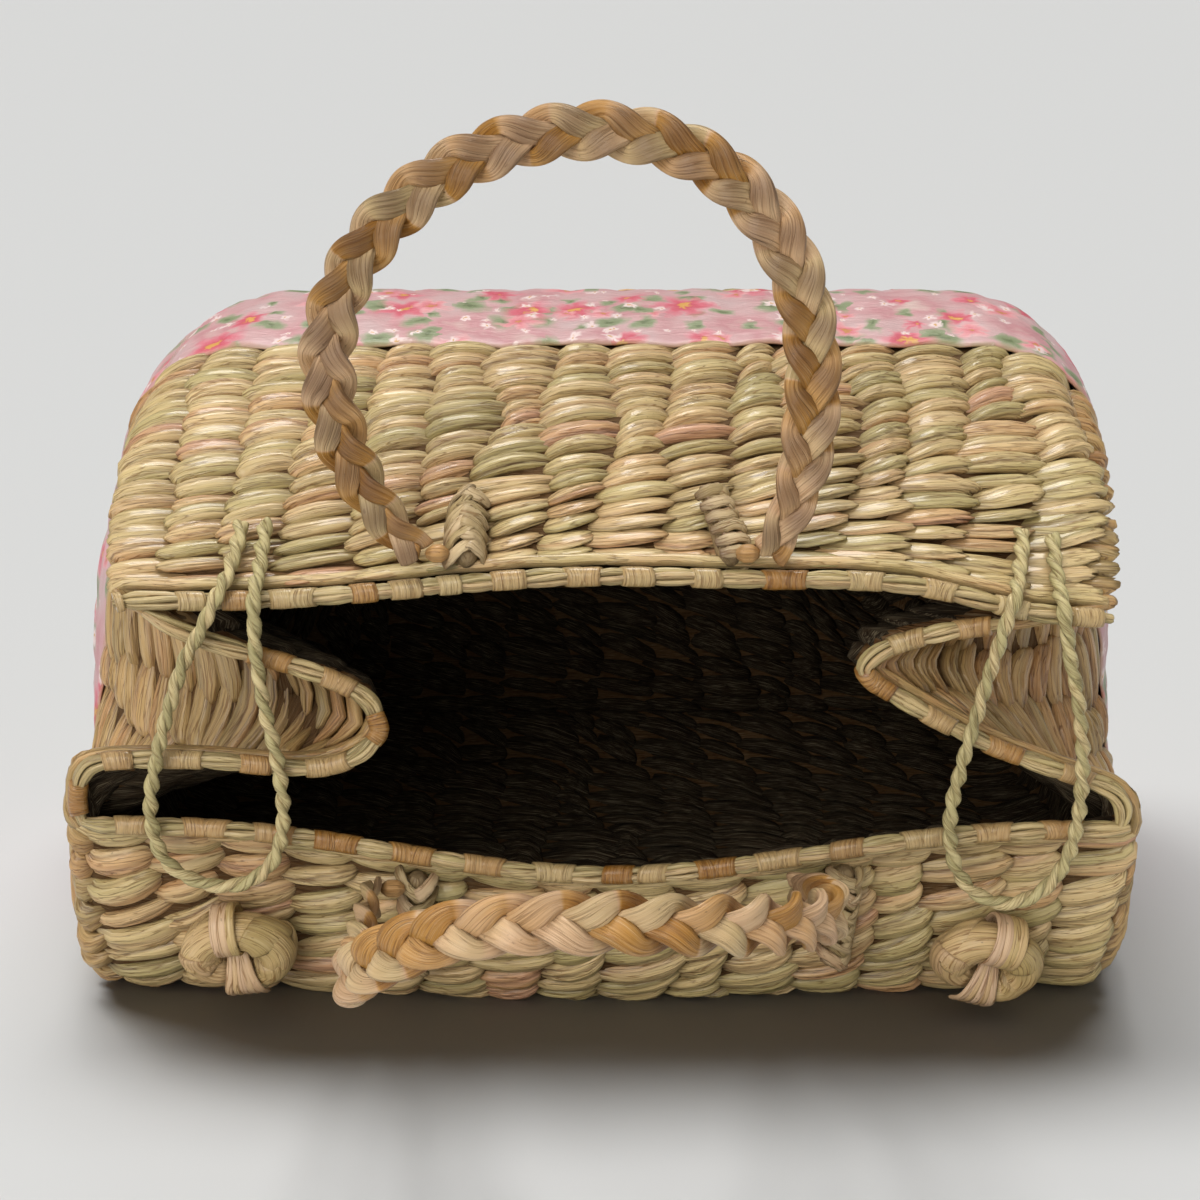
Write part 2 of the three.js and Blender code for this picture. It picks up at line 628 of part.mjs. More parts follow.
// Moves a group along a wall's normal until its nearest corner is one seat away from the wall
function settle(group, name, normal) {
  const far = 60;
  const back = normal.clone().negate();
  group.updateWorldMatrix(true, true);
  let nearest = far;
  group.traverse((piece) => {
    const position = piece.geometry?.attributes.position;
    for (let k = 0; k < (position?.count ?? 0); k += 1) {
      const point = vector(0, 0, 0).fromBufferAttribute(position, k).applyMatrix4(piece.matrixWorld);
      caster.set(point.addScaledVector(normal, far), back);
      const hit = caster.intersectObject(basket.getObjectByName(name))[0];
      if (hit) nearest = Math.min(nearest, hit.distance - far);
    }
  });
  group.position.addScaledVector(back, nearest - seat * 1.3);
}
const tieRing = rollThickness + seat + tieRadius;
for (const [label, toggle] of Object.entries(toggles)) {
  const { point, normal } = onWall('front_wall', toggle.x, toggle.down);
  const group = new THREE.Group();
  group.position.copy(point).addScaledVector(normal, 2 * tieRing);
  const turn = new THREE.Quaternion().setFromUnitVectors(vector(0, -1, 0), normal);
  const spin = new THREE.Quaternion().setFromAxisAngle(
    vector(0, -1, 0), THREE.MathUtils.degToRad(toggle.tilt),
  );
  group.quaternion.copy(turn).multiply(spin);
  const roll = addPiece(`${label}_roll`, ringGeometry(rollRadius, rollThickness, rollThickness, 20, 8),
    materials.roll, group);
  roll.scale.set(1.06, 1, 0.92);
  const tie = addPiece(`${label}_tie`, ringGeometry(tieRing, tieRadius, 3.4, 14, 6), materials.roll, group);
  tie.rotation.z = Math.PI / 2;
  tie.position.z = -rollRadius * 0.92;
  basket.add(group);
  settle(group, 'front_wall', normal);
}

// Closure loops: stiff two-ply cord, as one round tube each
for (const [name, points] of Object.entries({
  left_closure_loop: leftLoopPoints, right_closure_loop: rightLoopPoints,
})) {
  const route = new THREE.CatmullRomCurve3(points.map((point) => vector(...point)));
  const outline = new THREE.Shape(circle(8).map(([a, b]) => (
    new THREE.Vector2((a * cordDiameter) / 2, (b * cordDiameter) / 2)
  )));
  const geometry = new THREE.ExtrudeGeometry(outline, { steps: 40, extrudePath: route });
  addPiece(name, geometry, materials.cord).userData.cord = true;
}

// The origin lies under the middle of the rigid pieces, on the floor
basket.updateMatrixWorld(true);
const bounds = new THREE.Box3();
basket.traverse((piece) => {
  if (piece.isMesh && !piece.userData.cord) bounds.expandByObject(piece, true);
});
const middle = bounds.getCenter(vector(0, 0, 0));
basket.position.set(-middle.x, -middle.y, -bounds.min.z);

export default basket;
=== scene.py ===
import json
import math

import bpy
import numpy as np
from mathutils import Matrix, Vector


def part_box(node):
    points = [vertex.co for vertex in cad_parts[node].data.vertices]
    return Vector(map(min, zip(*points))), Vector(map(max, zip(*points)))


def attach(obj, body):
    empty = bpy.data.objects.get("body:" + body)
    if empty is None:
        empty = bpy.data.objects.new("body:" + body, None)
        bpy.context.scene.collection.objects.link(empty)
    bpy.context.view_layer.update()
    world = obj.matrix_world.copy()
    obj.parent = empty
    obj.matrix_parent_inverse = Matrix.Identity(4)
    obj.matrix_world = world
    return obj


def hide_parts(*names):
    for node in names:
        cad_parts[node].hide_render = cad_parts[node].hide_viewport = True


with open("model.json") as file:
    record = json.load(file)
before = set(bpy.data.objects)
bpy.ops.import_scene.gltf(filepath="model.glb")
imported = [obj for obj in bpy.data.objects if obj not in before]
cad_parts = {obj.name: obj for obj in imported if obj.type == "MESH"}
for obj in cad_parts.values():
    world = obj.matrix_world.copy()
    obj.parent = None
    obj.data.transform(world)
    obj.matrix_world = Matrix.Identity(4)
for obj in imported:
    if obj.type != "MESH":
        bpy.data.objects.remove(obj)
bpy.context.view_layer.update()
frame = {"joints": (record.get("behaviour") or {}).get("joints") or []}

rng = np.random.default_rng(11)

# Driving sizes of the body, mm
BODY_DEPTH = 235.0
CROWN = 247.0
HALF_WIDTH = 213.0
BASE_HALF_WIDTH = 173.0
WALL = 7.0
MOUTH_Y = 4.4
BAND_START, BAND_END = 0.475, 0.8
ROW_PITCH = 8.6
CANE_RADIUS = 3.4

base_low, base_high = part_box("base_mat")
OFFSET = np.array([(base_low[0] + base_high[0]) * 500, base_high[1] * 1000 - BODY_DEPTH, 0.0])


def metres(points):
    return (np.asarray(points, float) + OFFSET) / 1000


# Camera
CAMERA_AT = (0.0, -803.0, 467.7)
CAMERA_DOWN = 20.0
FOCAL_PX, FRAME_PX = 2407.0, 1200.0
SENSOR_WIDTH = 36.0
camera_data = bpy.data.cameras.new("camera")
camera_data.sensor_width = SENSOR_WIDTH
camera_data.lens = SENSOR_WIDTH * FOCAL_PX / FRAME_PX
camera = bpy.data.objects.new("camera", camera_data)
camera.location = metres(CAMERA_AT)
camera.rotation_euler = (math.radians(90 - CAMERA_DOWN), 0, 0)
camera_data.clip_start, camera_data.clip_end = 0.05, 60
bpy.context.collection.objects.link(camera)
bpy.context.scene.camera = camera


# Small helpers
Y_AXIS = np.array([0.0, 1.0, 0.0])


def lerp(a, b, s):
    return a + (b - a) * s


def smooth(x, low, high):
    s = np.clip((np.asarray(x, float) - low) / (high - low), 0, 1)
    return s * s * (3 - 2 * s)


def profile(count, stops, values):
    """Values at even steps along a part, from stops between 0 and 1."""
    return np.interp(np.linspace(0, 1, count), stops, values)


def notch(gap, width):
    """A narrow bell, 1 where the gap is 0."""
    return np.exp(-(gap / width) ** 2)


def turned_back(angle):
    """The same angle between -pi and pi."""
    return np.angle(np.exp(1j * angle))


def length_of(vectors):
    return np.linalg.norm(vectors, axis=-1)


def unit(vectors):
    return vectors / np.maximum(length_of(vectors)[..., None], 1e-9)


def run_along(path):
    return np.concatenate([[0], np.cumsum(length_of(np.diff(path, axis=0)))])


def points_at(path, run, marks):
    return np.stack([np.interp(marks, run, path[:, k]) for k in range(3)], axis=1)


def resample(path, step):
    path = np.asarray(path, float)
    run = run_along(path)
    count = max(2, int(round(run[-1] / step)) + 1)
    return points_at(path, run, np.linspace(0, run[-1], count))


def cubic(a, b, c, d, s):
    """The smooth curve from b to c, with a and d beyond them, at share s."""
    return 0.5 * (2 * b + (c - a) * s + (2 * a - 5 * b + 4 * c - d) * s ** 2
                  + (3 * b - a - 3 * c + d) * s ** 3)


def catmull(points, per_span=12):
    points = np.asarray(points, float)
    padded = np.vstack([2 * points[0] - points[1], points, 2 * points[-1] - points[-2]])
    share = (np.arange(per_span) / per_span)[:, None]
    spans = [cubic(*padded[i:i + 4], share) for i in range(len(points) - 1)]
    return np.vstack([*spans, points[-1]])


def box_of(name):
    """Low and high corner of a piece, mm."""
    return [np.array(corner) * 1000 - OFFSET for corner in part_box(name)]


basket_pieces = bpy.data.collections.new("basket_pieces")


class Build:
    """Gathers the parts of one mesh, in mm, with what its materials read at each point.

    fibre: place along and across the strand, and its own number; tone: 0 to 1 through the colours;
    shade and wear: how much painted shade it gets where it tucks under, along its sides, in creases and under
    bindings; on the printed band, how worn its edge is.
    """

    def __init__(self):
        self.points, self.quads, self.fibre, self.tone, self.painted_shade_and_wear, self.slots = [], [], [], [], [], []
        self.count = 0

    def add(self, points, quads, fibre, tone, painted_shade_and_wear, slot=0):
        n = len(points)
        self.points.append(points)
        self.quads.append(np.asarray(quads) + self.count)
        self.fibre.append(np.broadcast_to(fibre, (n, 3)))
        self.tone.append(np.broadcast_to(tone, (n,)))
        self.painted_shade_and_wear.append(np.broadcast_to(painted_shade_and_wear, (n,)))
        self.slots.append(np.full(len(quads), slot))
        self.count += n

    def make(self, name, materials, body, replaces):
        points = metres(np.concatenate(self.points))
        quads = np.concatenate(self.quads).astype(np.int32)
        mesh = bpy.data.meshes.new(name)
        mesh.vertices.add(len(points))
        mesh.vertices.foreach_set("co", points.astype(np.float32).ravel())
        mesh.loops.add(quads.size)
        mesh.loops.foreach_set("vertex_index", quads.ravel())
        mesh.polygons.add(len(quads))
        mesh.polygons.foreach_set("loop_start", np.arange(0, quads.size, 4, dtype=np.int32))
        mesh.polygons.foreach_set("material_index", np.concatenate(self.slots).astype(np.int32))
        mesh.polygons.foreach_set("use_smooth", np.ones(len(quads), bool))
        for label, kind, key, parts in (("fibre", "FLOAT_VECTOR", "vector", self.fibre),
                                        ("tone", "FLOAT", "value", self.tone),
                                        ("painted_shade_and_wear", "FLOAT", "value", self.painted_shade_and_wear)):
            attribute = mesh.attributes.new(label, kind, "POINT")
            attribute.data.foreach_set(key, np.concatenate(parts).astype(np.float32).ravel())
        mesh.update(calc_edges=True)
        mesh.validate()
        for material in materials:
            mesh.materials.append(material)
        piece = bpy.data.objects.new(name, mesh)
        bpy.context.collection.objects.link(piece)
        basket_pieces.objects.link(piece)
        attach(piece, body)
        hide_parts(*replaces)
        return piece


def grid_quads(rows, columns, wrap=False):
    r, c = np.meshgrid(np.arange(rows - 1), np.arange(columns if wrap else columns - 1), indexing="ij")
    here, beside = r * columns + c, r * columns + (c + 1) % columns
    return np.stack([here, beside, beside + columns, here + columns], -1).reshape(-1, 4)


def frames_along(path, reference=None):
    """Tangent, side and up at each point; without a reference the frame is carried along."""
    tangent = unit(np.gradient(path, axis=0))
    if reference is not None:
        side = unit(np.cross(tangent, np.broadcast_to(reference, path.shape)))
        return tangent, side, np.cross(side, tangent)
    first = np.array([0.0, 0.0, 1.0]) if abs(tangent[0][2]) < 0.9 else Y_AXIS
    side = np.empty_like(path)
    side[0] = unit(np.cross(tangent[0], first))
    for k in range(1, len(path)):
        side[k] = unit(side[k - 1] - tangent[k] * np.dot(side[k - 1], tangent[k]))
    return tangent, side, np.cross(side, tangent)


def wound(path, frames, turn, reach):
    """A path that winds round another one."""
    _, side, up = frames
    return path + side * (np.cos(turn) * reach)[:, None] + up * (np.sin(turn) * reach)[:, None]


# A rounded end: width of its last ring, how far that ring and the tip stand out
END_WIDTH, END_RING, END_TIP = 0.55, 0.45, 0.6


def tube(build, path, width, height=None, sides=12, reference=None, roll=0.0, shape=None, tone=0.5,
         painted_shade_and_wear=0.0, slot=0, round_ends=True, frames=None):
    """A closed tube along a path. shape(s, angle) scales the radius; roll turns the section."""
    path = np.asarray(path, float)
    n = len(path)
    tangent, side, up = frames or frames_along(path, reference)
    run = run_along(path)
    share = run / run[-1]
    width = np.broadcast_to(width, (n,)).astype(float)
    height = width if height is None else np.broadcast_to(height, (n,)).astype(float)
    roll = np.broadcast_to(roll, (n,))
    angle = np.arange(sides) / sides * 2 * np.pi
    scale = np.ones((n, sides)) if shape is None else shape(share[:, None], angle[None, :])
    a = np.cos(angle)[None, :] * width[:, None] * scale
    b = np.sin(angle)[None, :] * height[:, None] * scale
    c, s = np.cos(roll)[:, None], np.sin(roll)[:, None]
    x, y = a * c - b * s, a * s + b * c
    rings = path[:, None] + side[:, None] * x[..., None] + up[:, None] * y[..., None]
    tips = path[[0, -1]]
    if round_ends:
        mean = float(min(width.mean(), height.mean()))
        push = tangent[[0, -1]] * np.array([[-mean], [mean]])
        closing = lerp(tips[:, None], rings[[0, -1]], END_WIDTH) + push[:, None] * END_RING
        rings = np.concatenate([closing[:1], rings, closing[1:]])
        run = np.concatenate([[run[0] - mean], run, [run[-1] + mean]])
        share = np.concatenate([[0], share, [1]])
        tips = tips + push * END_TIP
    m = len(rings)
    tip, last_ring = m * sides, (m - 1) * sides
    caps = []
    for k in range(0, sides, 2):
        after = (k + 2) % sides
        caps.append([tip, after, k + 1, k])
        caps.append([tip + 1, last_ring + k, last_ring + k + 1, last_ring + after])

    def to_points(values):
        if np.ndim(values) == 0:
            return np.full(m * sides + 2, float(values))
        along = np.interp(share, np.linspace(0, 1, len(values)), values)
        return np.concatenate([np.repeat(along, sides), values[:1], values[-1:]])

    seed = rng.uniform(0, 50)
    girth = angle * float((width.mean() + height.mean()) / 2)
    fibre = np.stack(np.broadcast_arrays(run[:, None], girth[None, :], seed), -1).reshape(-1, 3)
    build.add(np.vstack([rings.reshape(-1, 3), tips]), np.vstack([grid_quads(m, sides, wrap=True), caps]),
              np.vstack([fibre, fibre[:2]]), to_points(tone), to_points(painted_shade_and_wear), slot)


def slant(build, centre, normal, direction, amount):
    """Leans the last part: its points move along direction by their height along normal."""
    block = build.points[-1]
    build.points[-1] = block + direction * (amount * ((block - centre) @ normal))[:, None]


# The woven shell: the outer and inner face of the walls
SHARES = np.linspace(0, 1, 161)
# Guides run along the corners from the mouth to the base, by shares of the body's sizes
BACK_DEPTHS = np.array([0, 0.215, 0.44, 0.67, 0.875, 1]) * BODY_DEPTH
FRONT_DEPTHS = np.array([0, 0.125, 0.335, 0.58, 0.83, 1]) * BODY_DEPTH
FOLD_DEPTHS = np.array([0, 0.19, 0.39, 0.625, 0.85, 1]) * BODY_DEPTH
GUSSET_DEPTHS = np.array([0, 0.14, 0.345, 0.595, 0.835, 1]) * BODY_DEPTH
BACK_HEIGHTS = np.array([0, 0.835, 0.93, 0.98, 0.97, 0.84]) * CROWN
FRONT_HEIGHTS = np.array([0, 0.03, 0, 0, 0.006, 0.15]) * CROWN
GUSSET_HEIGHTS = np.array([0, 0.283, 0.235, 0.227, 0.231, 0.251]) * CROWN
MIDDLE_HEIGHT = 0.5 * CROWN


def guide(mouth, depths, widths, heights):
    points = np.stack([widths, depths, heights], axis=1).astype(float)
    points[0] = (mouth[0], MOUTH_Y, mouth[1])
    return points


def corner_guide(mouth, depths, heights, widths, side):
    return guide(mouth, depths, side * np.array(widths), heights)


def widths_at(shares, at_base=1.0):
    return [0, *(share * HALF_WIDTH for share in shares), at_base * BASE_HALF_WIDTH]


def fold_guide(mouth, side):
    full = side * HALF_WIDTH
    widths = [0, lerp(mouth[0], full, 0.36), lerp(mouth[0], full, 0.8), full, full * 0.98,
              side * (BASE_HALF_WIDTH + 6)]
    heights = [0, lerp(mouth[1], MIDDLE_HEIGHT, 0.4)] + [MIDDLE_HEIGHT] * 4
    return guide(mouth, FOLD_DEPTHS, widths, heights)


BACK_LEFT_WIDTHS = widths_at([0.89, 0.87, 0.84, 0.8], 0.93)
BACK_RIGHT_WIDTHS = widths_at([0.935, 0.93, 0.92, 0.895], 0.97)
FRONT_WIDTHS = widths_at([0.939, 0.958, 0.967, 0.948])
GUSSET_WIDTHS = widths_at([0.953, 0.981, 0.991, 0.972])
GUIDES = [
    corner_guide((-181, 179), BACK_DEPTHS, BACK_HEIGHTS, BACK_LEFT_WIDTHS, -1),
    corner_guide((191, 172), BACK_DEPTHS, BACK_HEIGHTS, BACK_RIGHT_WIDTHS, 1),
    fold_guide((94, 149), 1),
    corner_guide((194.5, 103), GUSSET_DEPTHS, GUSSET_HEIGHTS, GUSSET_WIDTHS, 1),
    corner_guide((201, 82), FRONT_DEPTHS, FRONT_HEIGHTS, FRONT_WIDTHS, 1),
    corner_guide((-196, 84), FRONT_DEPTHS, FRONT_HEIGHTS, FRONT_WIDTHS, -1),
    corner_guide((-194, 115), GUSSET_DEPTHS, GUSSET_HEIGHTS, GUSSET_WIDTHS, -1),
    fold_guide((-75, 125), -1),
]
# How each guide turns into the base
BASE_TURN = np.array([(14, 0, -34), (-14, 0, -34), (-34, 0, 0), (-34, 0, 6),
                      (-14, 0, 34), (14, 0, 34), (34, 0, 6), (34, 0, 0)], float)
# Rounding of each corner at the mouth, on the outer and the inner face, and deeper in, mm
MOUTH_CUTS = [14, 14, 9, 9, 9, 12, 12, 9]
INNER_MOUTH_CUTS = [7, 7, 14, 6, 6, 8, 8, 33]
DEEP_CUTS = [52, 52, 30, 20, 32, 32, 20, 30]
CORNERS = 8


def ease(t):
    return smooth(t, 0, 0.6)


def spline(points, t, end_tangent):
    last = len(points) - 1
    padded = np.vstack([2 * points[0] - points[1], points, points[last - 1] + 2 * end_tangent])
    i = np.minimum((t * last).astype(int), last - 1)
    return cubic(*(padded[i + k] for k in range(4)), (t * last - i)[:, None])


OUTER_CORNERS = [spline(GUIDES[i], SHARES, BASE_TURN[i]) for i in range(CORNERS)]


def inner_corner(i):
    step = 1e-3
    along = unit(spline(GUIDES[i], np.minimum(1, SHARES + step), BASE_TURN[i])
                 - spline(GUIDES[i], np.maximum(0, SHARES - step), BASE_TURN[i]))
    here = OUTER_CORNERS[i]
    ahead = unit(np.cross(along, unit(OUTER_CORNERS[(i + 1) % CORNERS] - here)))
    behind = unit(np.cross(unit(OUTER_CORNERS[i - 1] - here), along))
    size = WALL / (1 + np.sum(ahead * behind, axis=1))
    return here + (ahead + behind) * size[:, None]


INNER_CORNERS = [inner_corner(i) for i in range(CORNERS)]


def arch(u):
    return np.sin(np.pi * u)


# name, first corner, last corner, columns of stitches, bow and how fast it fades
PANELS = [
    ("back_wall", 0, 1, 16, lambda u: 12 * arch(u) ** 3 + 8.5 * arch(u ** 2.8) ** 4, 1.0),
    ("right_gusset_upper", 1, 2, 4, lambda u: 4 * arch(u ** 2.4), 1.0),
    ("right_gusset_lower", 2, 4, 5, lambda u: -4.75 * arch(u ** 0.75) ** 2, 1.0),
    ("front_wall", 4, 5, 16, lambda u: -19.5 * arch(u) ** 3, 1.6),
    ("left_gusset_lower", 5, 7, 5, lambda u: -9.5 * arch(u ** 3.4), 1.0),
    ("left_gusset_upper", 7, 8, 4, lambda u: 8.5 * arch(u ** 0.4) - 6 * arch(u ** 1.5), 1.0),
]


def panel_face(panel, corner, cuts, marks):
    _, first, last, _, bow, fade = panel
    points = []
    for k in range(first, last + 1):
        here, before, after = (corner[j % CORNERS] for j in (k, k - 1, k + 1))
        room = np.minimum(length_of(before - here), length_of(after - here)) / 2 - 0.5
        cut = np.minimum(lerp(cuts[k % CORNERS], DEEP_CUTS[k % CORNERS], ease(SHARES)), room)[:, None]
        start, end = here + unit(before - here) * cut, here + unit(after - here) * cut
        for s in np.linspace(0.5 if k == first else 0, 0.5 if k == last else 1, 9):
            points.append((1 - s) ** 2 * start + 2 * s * (1 - s) * here + s * s * end)
    line = np.stack(points, axis=1)
    steps = length_of(np.diff(line, axis=1))
    run = np.concatenate([np.zeros((len(SHARES), 1)), np.cumsum(steps, axis=1)], axis=1)
    run /= run[:, -1:]
    face = np.empty((len(SHARES), len(marks), 3))
    for row in range(len(SHARES)):
        for axis in range(3):
            face[row, :, axis] = np.interp(marks, run[row], line[row, :, axis])
    face[..., 2] += bow(marks)[None, :] * (1 - ease(fade * SHARES))[:, None]
    return face


SAMPLES = 6  # points of the shell for each column of stitches
OUTER, INNER, SPANS = [], [], {}
COLUMNS = 0
for panel in PANELS:
    name, count = panel[0], panel[3]
    marks = np.linspace(0, 1, count * SAMPLES + 1)
    OUTER.append(panel_face(panel, OUTER_CORNERS, MOUTH_CUTS, marks)[:, :-1])
    INNER.append(panel_face(panel, INNER_CORNERS, INNER_MOUTH_CUTS, marks)[:, :-1])
    SPANS[name] = (COLUMNS, count)
    COLUMNS += count
OUTER, INNER = np.concatenate(OUTER, axis=1), np.concatenate(INNER, axis=1)
OUTER[..., 2] = np.maximum(0, OUTER[..., 2])
for face in (OUTER, INNER):
    face[..., 1] = np.maximum(MOUTH_Y, face[..., 1])
RUNS = np.concatenate([np.zeros((1, OUTER.shape[1])),
                       np.cumsum(length_of(np.diff(OUTER, axis=0)), axis=0)])
RUN = RUNS.mean(axis=1)
ROWS = int(RUN[-1] / ROW_PITCH)
PITCH = RUN[-1] / ROWS


def sample(grid, column, row):
    """A point between the points of a grid that closes on itself sideways."""
    column = np.mod(column * SAMPLES, grid.shape[1])
    left = np.floor(column).astype(int) % grid.shape[1]
    right = (left + 1) % grid.shape[1]
    from_left = (column - np.floor(column))[..., None]
    above = np.clip(np.floor(row).astype(int), 0, len(grid) - 2)
    upper, lower = (lerp(grid[line, left], grid[line, right], from_left) for line in (above, above + 1))
    return lerp(upper, lower, (row - above)[..., None])


def shell_at(column, run, height):
    """A point of the shell: column round the body, run mm from the mouth, height above the outer face."""
    column, run, height = np.broadcast_arrays(column, run, height)
    row = np.interp(run, RUN, np.arange(len(SHARES)))
    outer, inner = sample(OUTER, column, row), sample(INNER, column, row)
    across = outer - inner
    proud = unit(across) * np.minimum(length_of(across) / WALL, 1.2)[..., None]
    point = outer + across * (np.clip(height, -WALL, 0) / WALL)[..., None]
    point = point + proud * (np.maximum(height, 0) + np.minimum(height + WALL, 0))[..., None]
    point[..., 2] = np.maximum(0, point[..., 2])
    return point


def column_at(panel, x, run):
    """The column of a panel where its outer face passes x, mm."""
    first, count = SPANS[panel]
    marks = np.linspace(first, first + count, 200)
    xs = shell_at(marks, run, 0)[:, 0]
    order = np.argsort(xs)
    return float(np.interp(x, xs[order], marks[order]))


def wall_frame(column, run):
    """Point, outward normal, direction along X and direction away from the mouth."""
    here = shell_at(column, run, 0)
    outward = unit(shell_at(column, run, 3) - here)
    away = unit(shell_at(column, run + 4, 0) - shell_at(column, max(0, run - 4), 0))
    across = unit(np.cross(away, outward))
    if across[0] < 0:
        across = -across
    outward = unit(np.cross(across, away)) * np.sign(np.dot(np.cross(across, away), outward))
    return here, outward, across, away


# Materials
def srgb(code):
    value = [int(code[i:i + 2], 16) / 255 for i in (0, 2, 4)]
    return [v / 12.92 if v <= 0.04045 else ((v + 0.055) / 1.055) ** 2.4 for v in value] + [1]


class Nodes:
    """A small shorthand for node trees."""

    def __init__(self, name):
        self.material = bpy.data.materials.new(name)
        self.material.use_nodes = True
        self.tree = self.material.node_tree
        self.tree.nodes.clear()
        self.shader = self.new("ShaderNodeBsdfPrincipled")
        output = self.new("ShaderNodeOutputMaterial")
        self.link(self.shader.outputs[0], output.inputs[0])

    def new(self, kind, **settings):
        node = self.tree.nodes.new(kind)
        for key, value in settings.items():
            setattr(node, key, value)
        return node

    def link(self, a, b):
        self.tree.links.new(a, b)

    def put(self, socket, value):
        if isinstance(value, bpy.types.NodeSocket):
            self.link(value, socket)
        else:
            socket.default_value = value

    def math(self, operation, a, b=0.0, c=0.0, clamp=False):
        node = self.new("ShaderNodeMath", operation=operation, use_clamp=clamp)
        for socket, value in zip(node.inputs, (a, b, c)):
            self.put(socket, value)
        return node.outputs[0]

    def vector(self, operation, a, b=(0, 0, 0)):
        node = self.new("ShaderNodeVectorMath", operation=operation)
        self.put(node.inputs[0], a)
        self.put(node.inputs[1], b)
        return node.outputs["Value"] if operation == "LENGTH" else node.outputs[0]

    def split(self, vector):
        node = self.new("ShaderNodeSeparateXYZ")
        self.put(node.inputs[0], vector)
        return node.outputs

    def attribute(self, name):
        return self.new("ShaderNodeAttribute", attribute_name=name)

    def noise(self, vector, scale, detail=2.0, roughness=0.5):
        node = self.new("ShaderNodeTexNoise")
        self.put(node.inputs["Vector"], vector)
        self.put(node.inputs["Scale"], scale)
        self.put(node.inputs["Detail"], detail)
        self.put(node.inputs["Roughness"], roughness)
        return node.outputs

    def ramp(self, factor, stops):
        node = self.new("ShaderNodeValToRGB")
        elements = node.color_ramp.elements
        while len(elements) < len(stops):
            elements.new(0.5)
        for element, (position, color) in zip(elements, stops):
            element.position = position
            element.color = srgb(color) if isinstance(color, str) else (color, color, color, 1)
        self.put(node.inputs[0], factor)
        return node.outputs[0]

    def mix(self, factor, a, b, blend="MIX"):
        node = self.new("ShaderNodeMix", data_type="RGBA", blend_type=blend)
        for socket, value in zip((node.inputs[0], node.inputs[6], node.inputs[7]), (factor, a, b)):
            self.put(socket, srgb(value) if isinstance(value, str) else value)
        return node.outputs[2]

    def bump(self, height, strength, distance, normal=None):
        node = self.new("ShaderNodeBump")
        node.inputs["Strength"].default_value = strength
        node.inputs["Distance"].default_value = distance
        self.link(height, node.inputs["Height"])
        if normal is not None:
            self.link(normal, node.inputs["Normal"])
        return node.outputs[0]


def grass(name, tones, dark="5a3618", rough=(0.3, 0.5), fibre=(0.045, 1.5), streak=0.4, bump=0.65,
          specular=0.5, coat=0.45, painted_crease_shade=0.75, patches=0.45):
    """Dried rush or seagrass: each strand has its own tone, with fibre lines along it, and painted shade in
    its creases and where it tucks under.
    """
    n = Nodes(name)
    tone = n.attribute("tone").outputs["Fac"]
    where = n.attribute("fibre").outputs["Vector"]
    painted_shade_and_wear = n.attribute("painted_shade_and_wear").outputs["Fac"]

    def veins(along, across, detail, roughness=0.5):
        return n.noise(n.vector("MULTIPLY", where, (along, across, 1)), 1.0, detail, roughness)[0]

    lines = veins(fibre[0], fibre[1] * 0.42, 2.0)
    streaks = veins(fibre[0], fibre[1], 3.0, 0.6)
    fine = veins(fibre[0] * 3, fibre[1] * 3.2, 2.0, 0.6)
    patch = veins(0.06, 0.22, 2.0)
    spots = veins(0.5, 1.1, 1.0)
    shifted = n.math("ADD", tone, n.math("MULTIPLY", n.math("SUBTRACT", patch, 0.5), patches))
    stops = [(k / (len(tones) - 1), color) for k, color in enumerate(tones)]
    color = n.ramp(shifted, stops)
    darker = n.mix(1.0, color, (0.5, 0.37, 0.24, 1), "MULTIPLY")
    lighter = n.mix(0.45, color, "f6e4bc")
    color = n.mix(n.ramp(streaks, [(0.3, streak), (0.5, 0.0)]), color, darker)
    color = n.mix(n.ramp(fine, [(0.5, 0.0), (0.78, 0.75)]), color, lighter)
    color = n.mix(n.ramp(spots, [(0.71, 0.0), (0.78, 0.4)]), color, dark)
    # Painted shade: thin dark lines in the creases along the strand; the same lines also make the bump.
    fold = n.ramp(n.math("ABSOLUTE", n.math("SUBTRACT", lines, 0.5)), [(0.004, 1.0), (0.03, 0.0)])
    color = n.mix(n.math("MULTIPLY", fold, painted_crease_shade), color, darker)
    # Painted shade: towards the dark colour where the strand tucks under, along its sides and in its creases.
    color = n.mix(n.math("MULTIPLY", painted_shade_and_wear, 0.9, clamp=True), color, dark)
    n.link(color, n.shader.inputs["Base Color"])
    n.link(n.math("ADD", n.math("MULTIPLY", streaks, rough[1] - rough[0]), rough[0]),
           n.shader.inputs["Roughness"])
    n.shader.inputs["Specular IOR Level"].default_value = specular
    n.shader.inputs["Coat Weight"].default_value = coat
    n.shader.inputs["Coat Roughness"].default_value = 0.16
    pleats = n.math("SUBTRACT", streaks, n.math("MULTIPLY", fold, 0.6))
    coarse = n.bump(pleats, bump, 0.0011)
    n.link(n.bump(fine, bump * 0.7, 0.0004, coarse), n.shader.inputs["Normal"])
    return n.material


WEAVE_TONES = ["bcab70", "c9b67a", "d8bf84", "e0c48c", "e1bd86", "dcad76", "d6a27c"]
weave = grass("woven_seagrass", WEAVE_TONES)
# The end walls: a darker, warmer copy of the same weave; its darkness is painted shade for the side faces.
shaded_gusset_weave = grass("gusset_seagrass_painted_shade", ["b09660", "bf9f64", "c9a468", "cb9b62", "bf8e56"])
# The inner face of the walls: near-black tones, painted shade for the dark inside of the bag.
shaded_inside_weave = grass("woven_seagrass_inside_painted_shade", ["2a2012", "302415", "342718", "2e2114"], dark="0e0804",
                   rough=(0.65, 0.85), specular=0.15, coat=0.0)
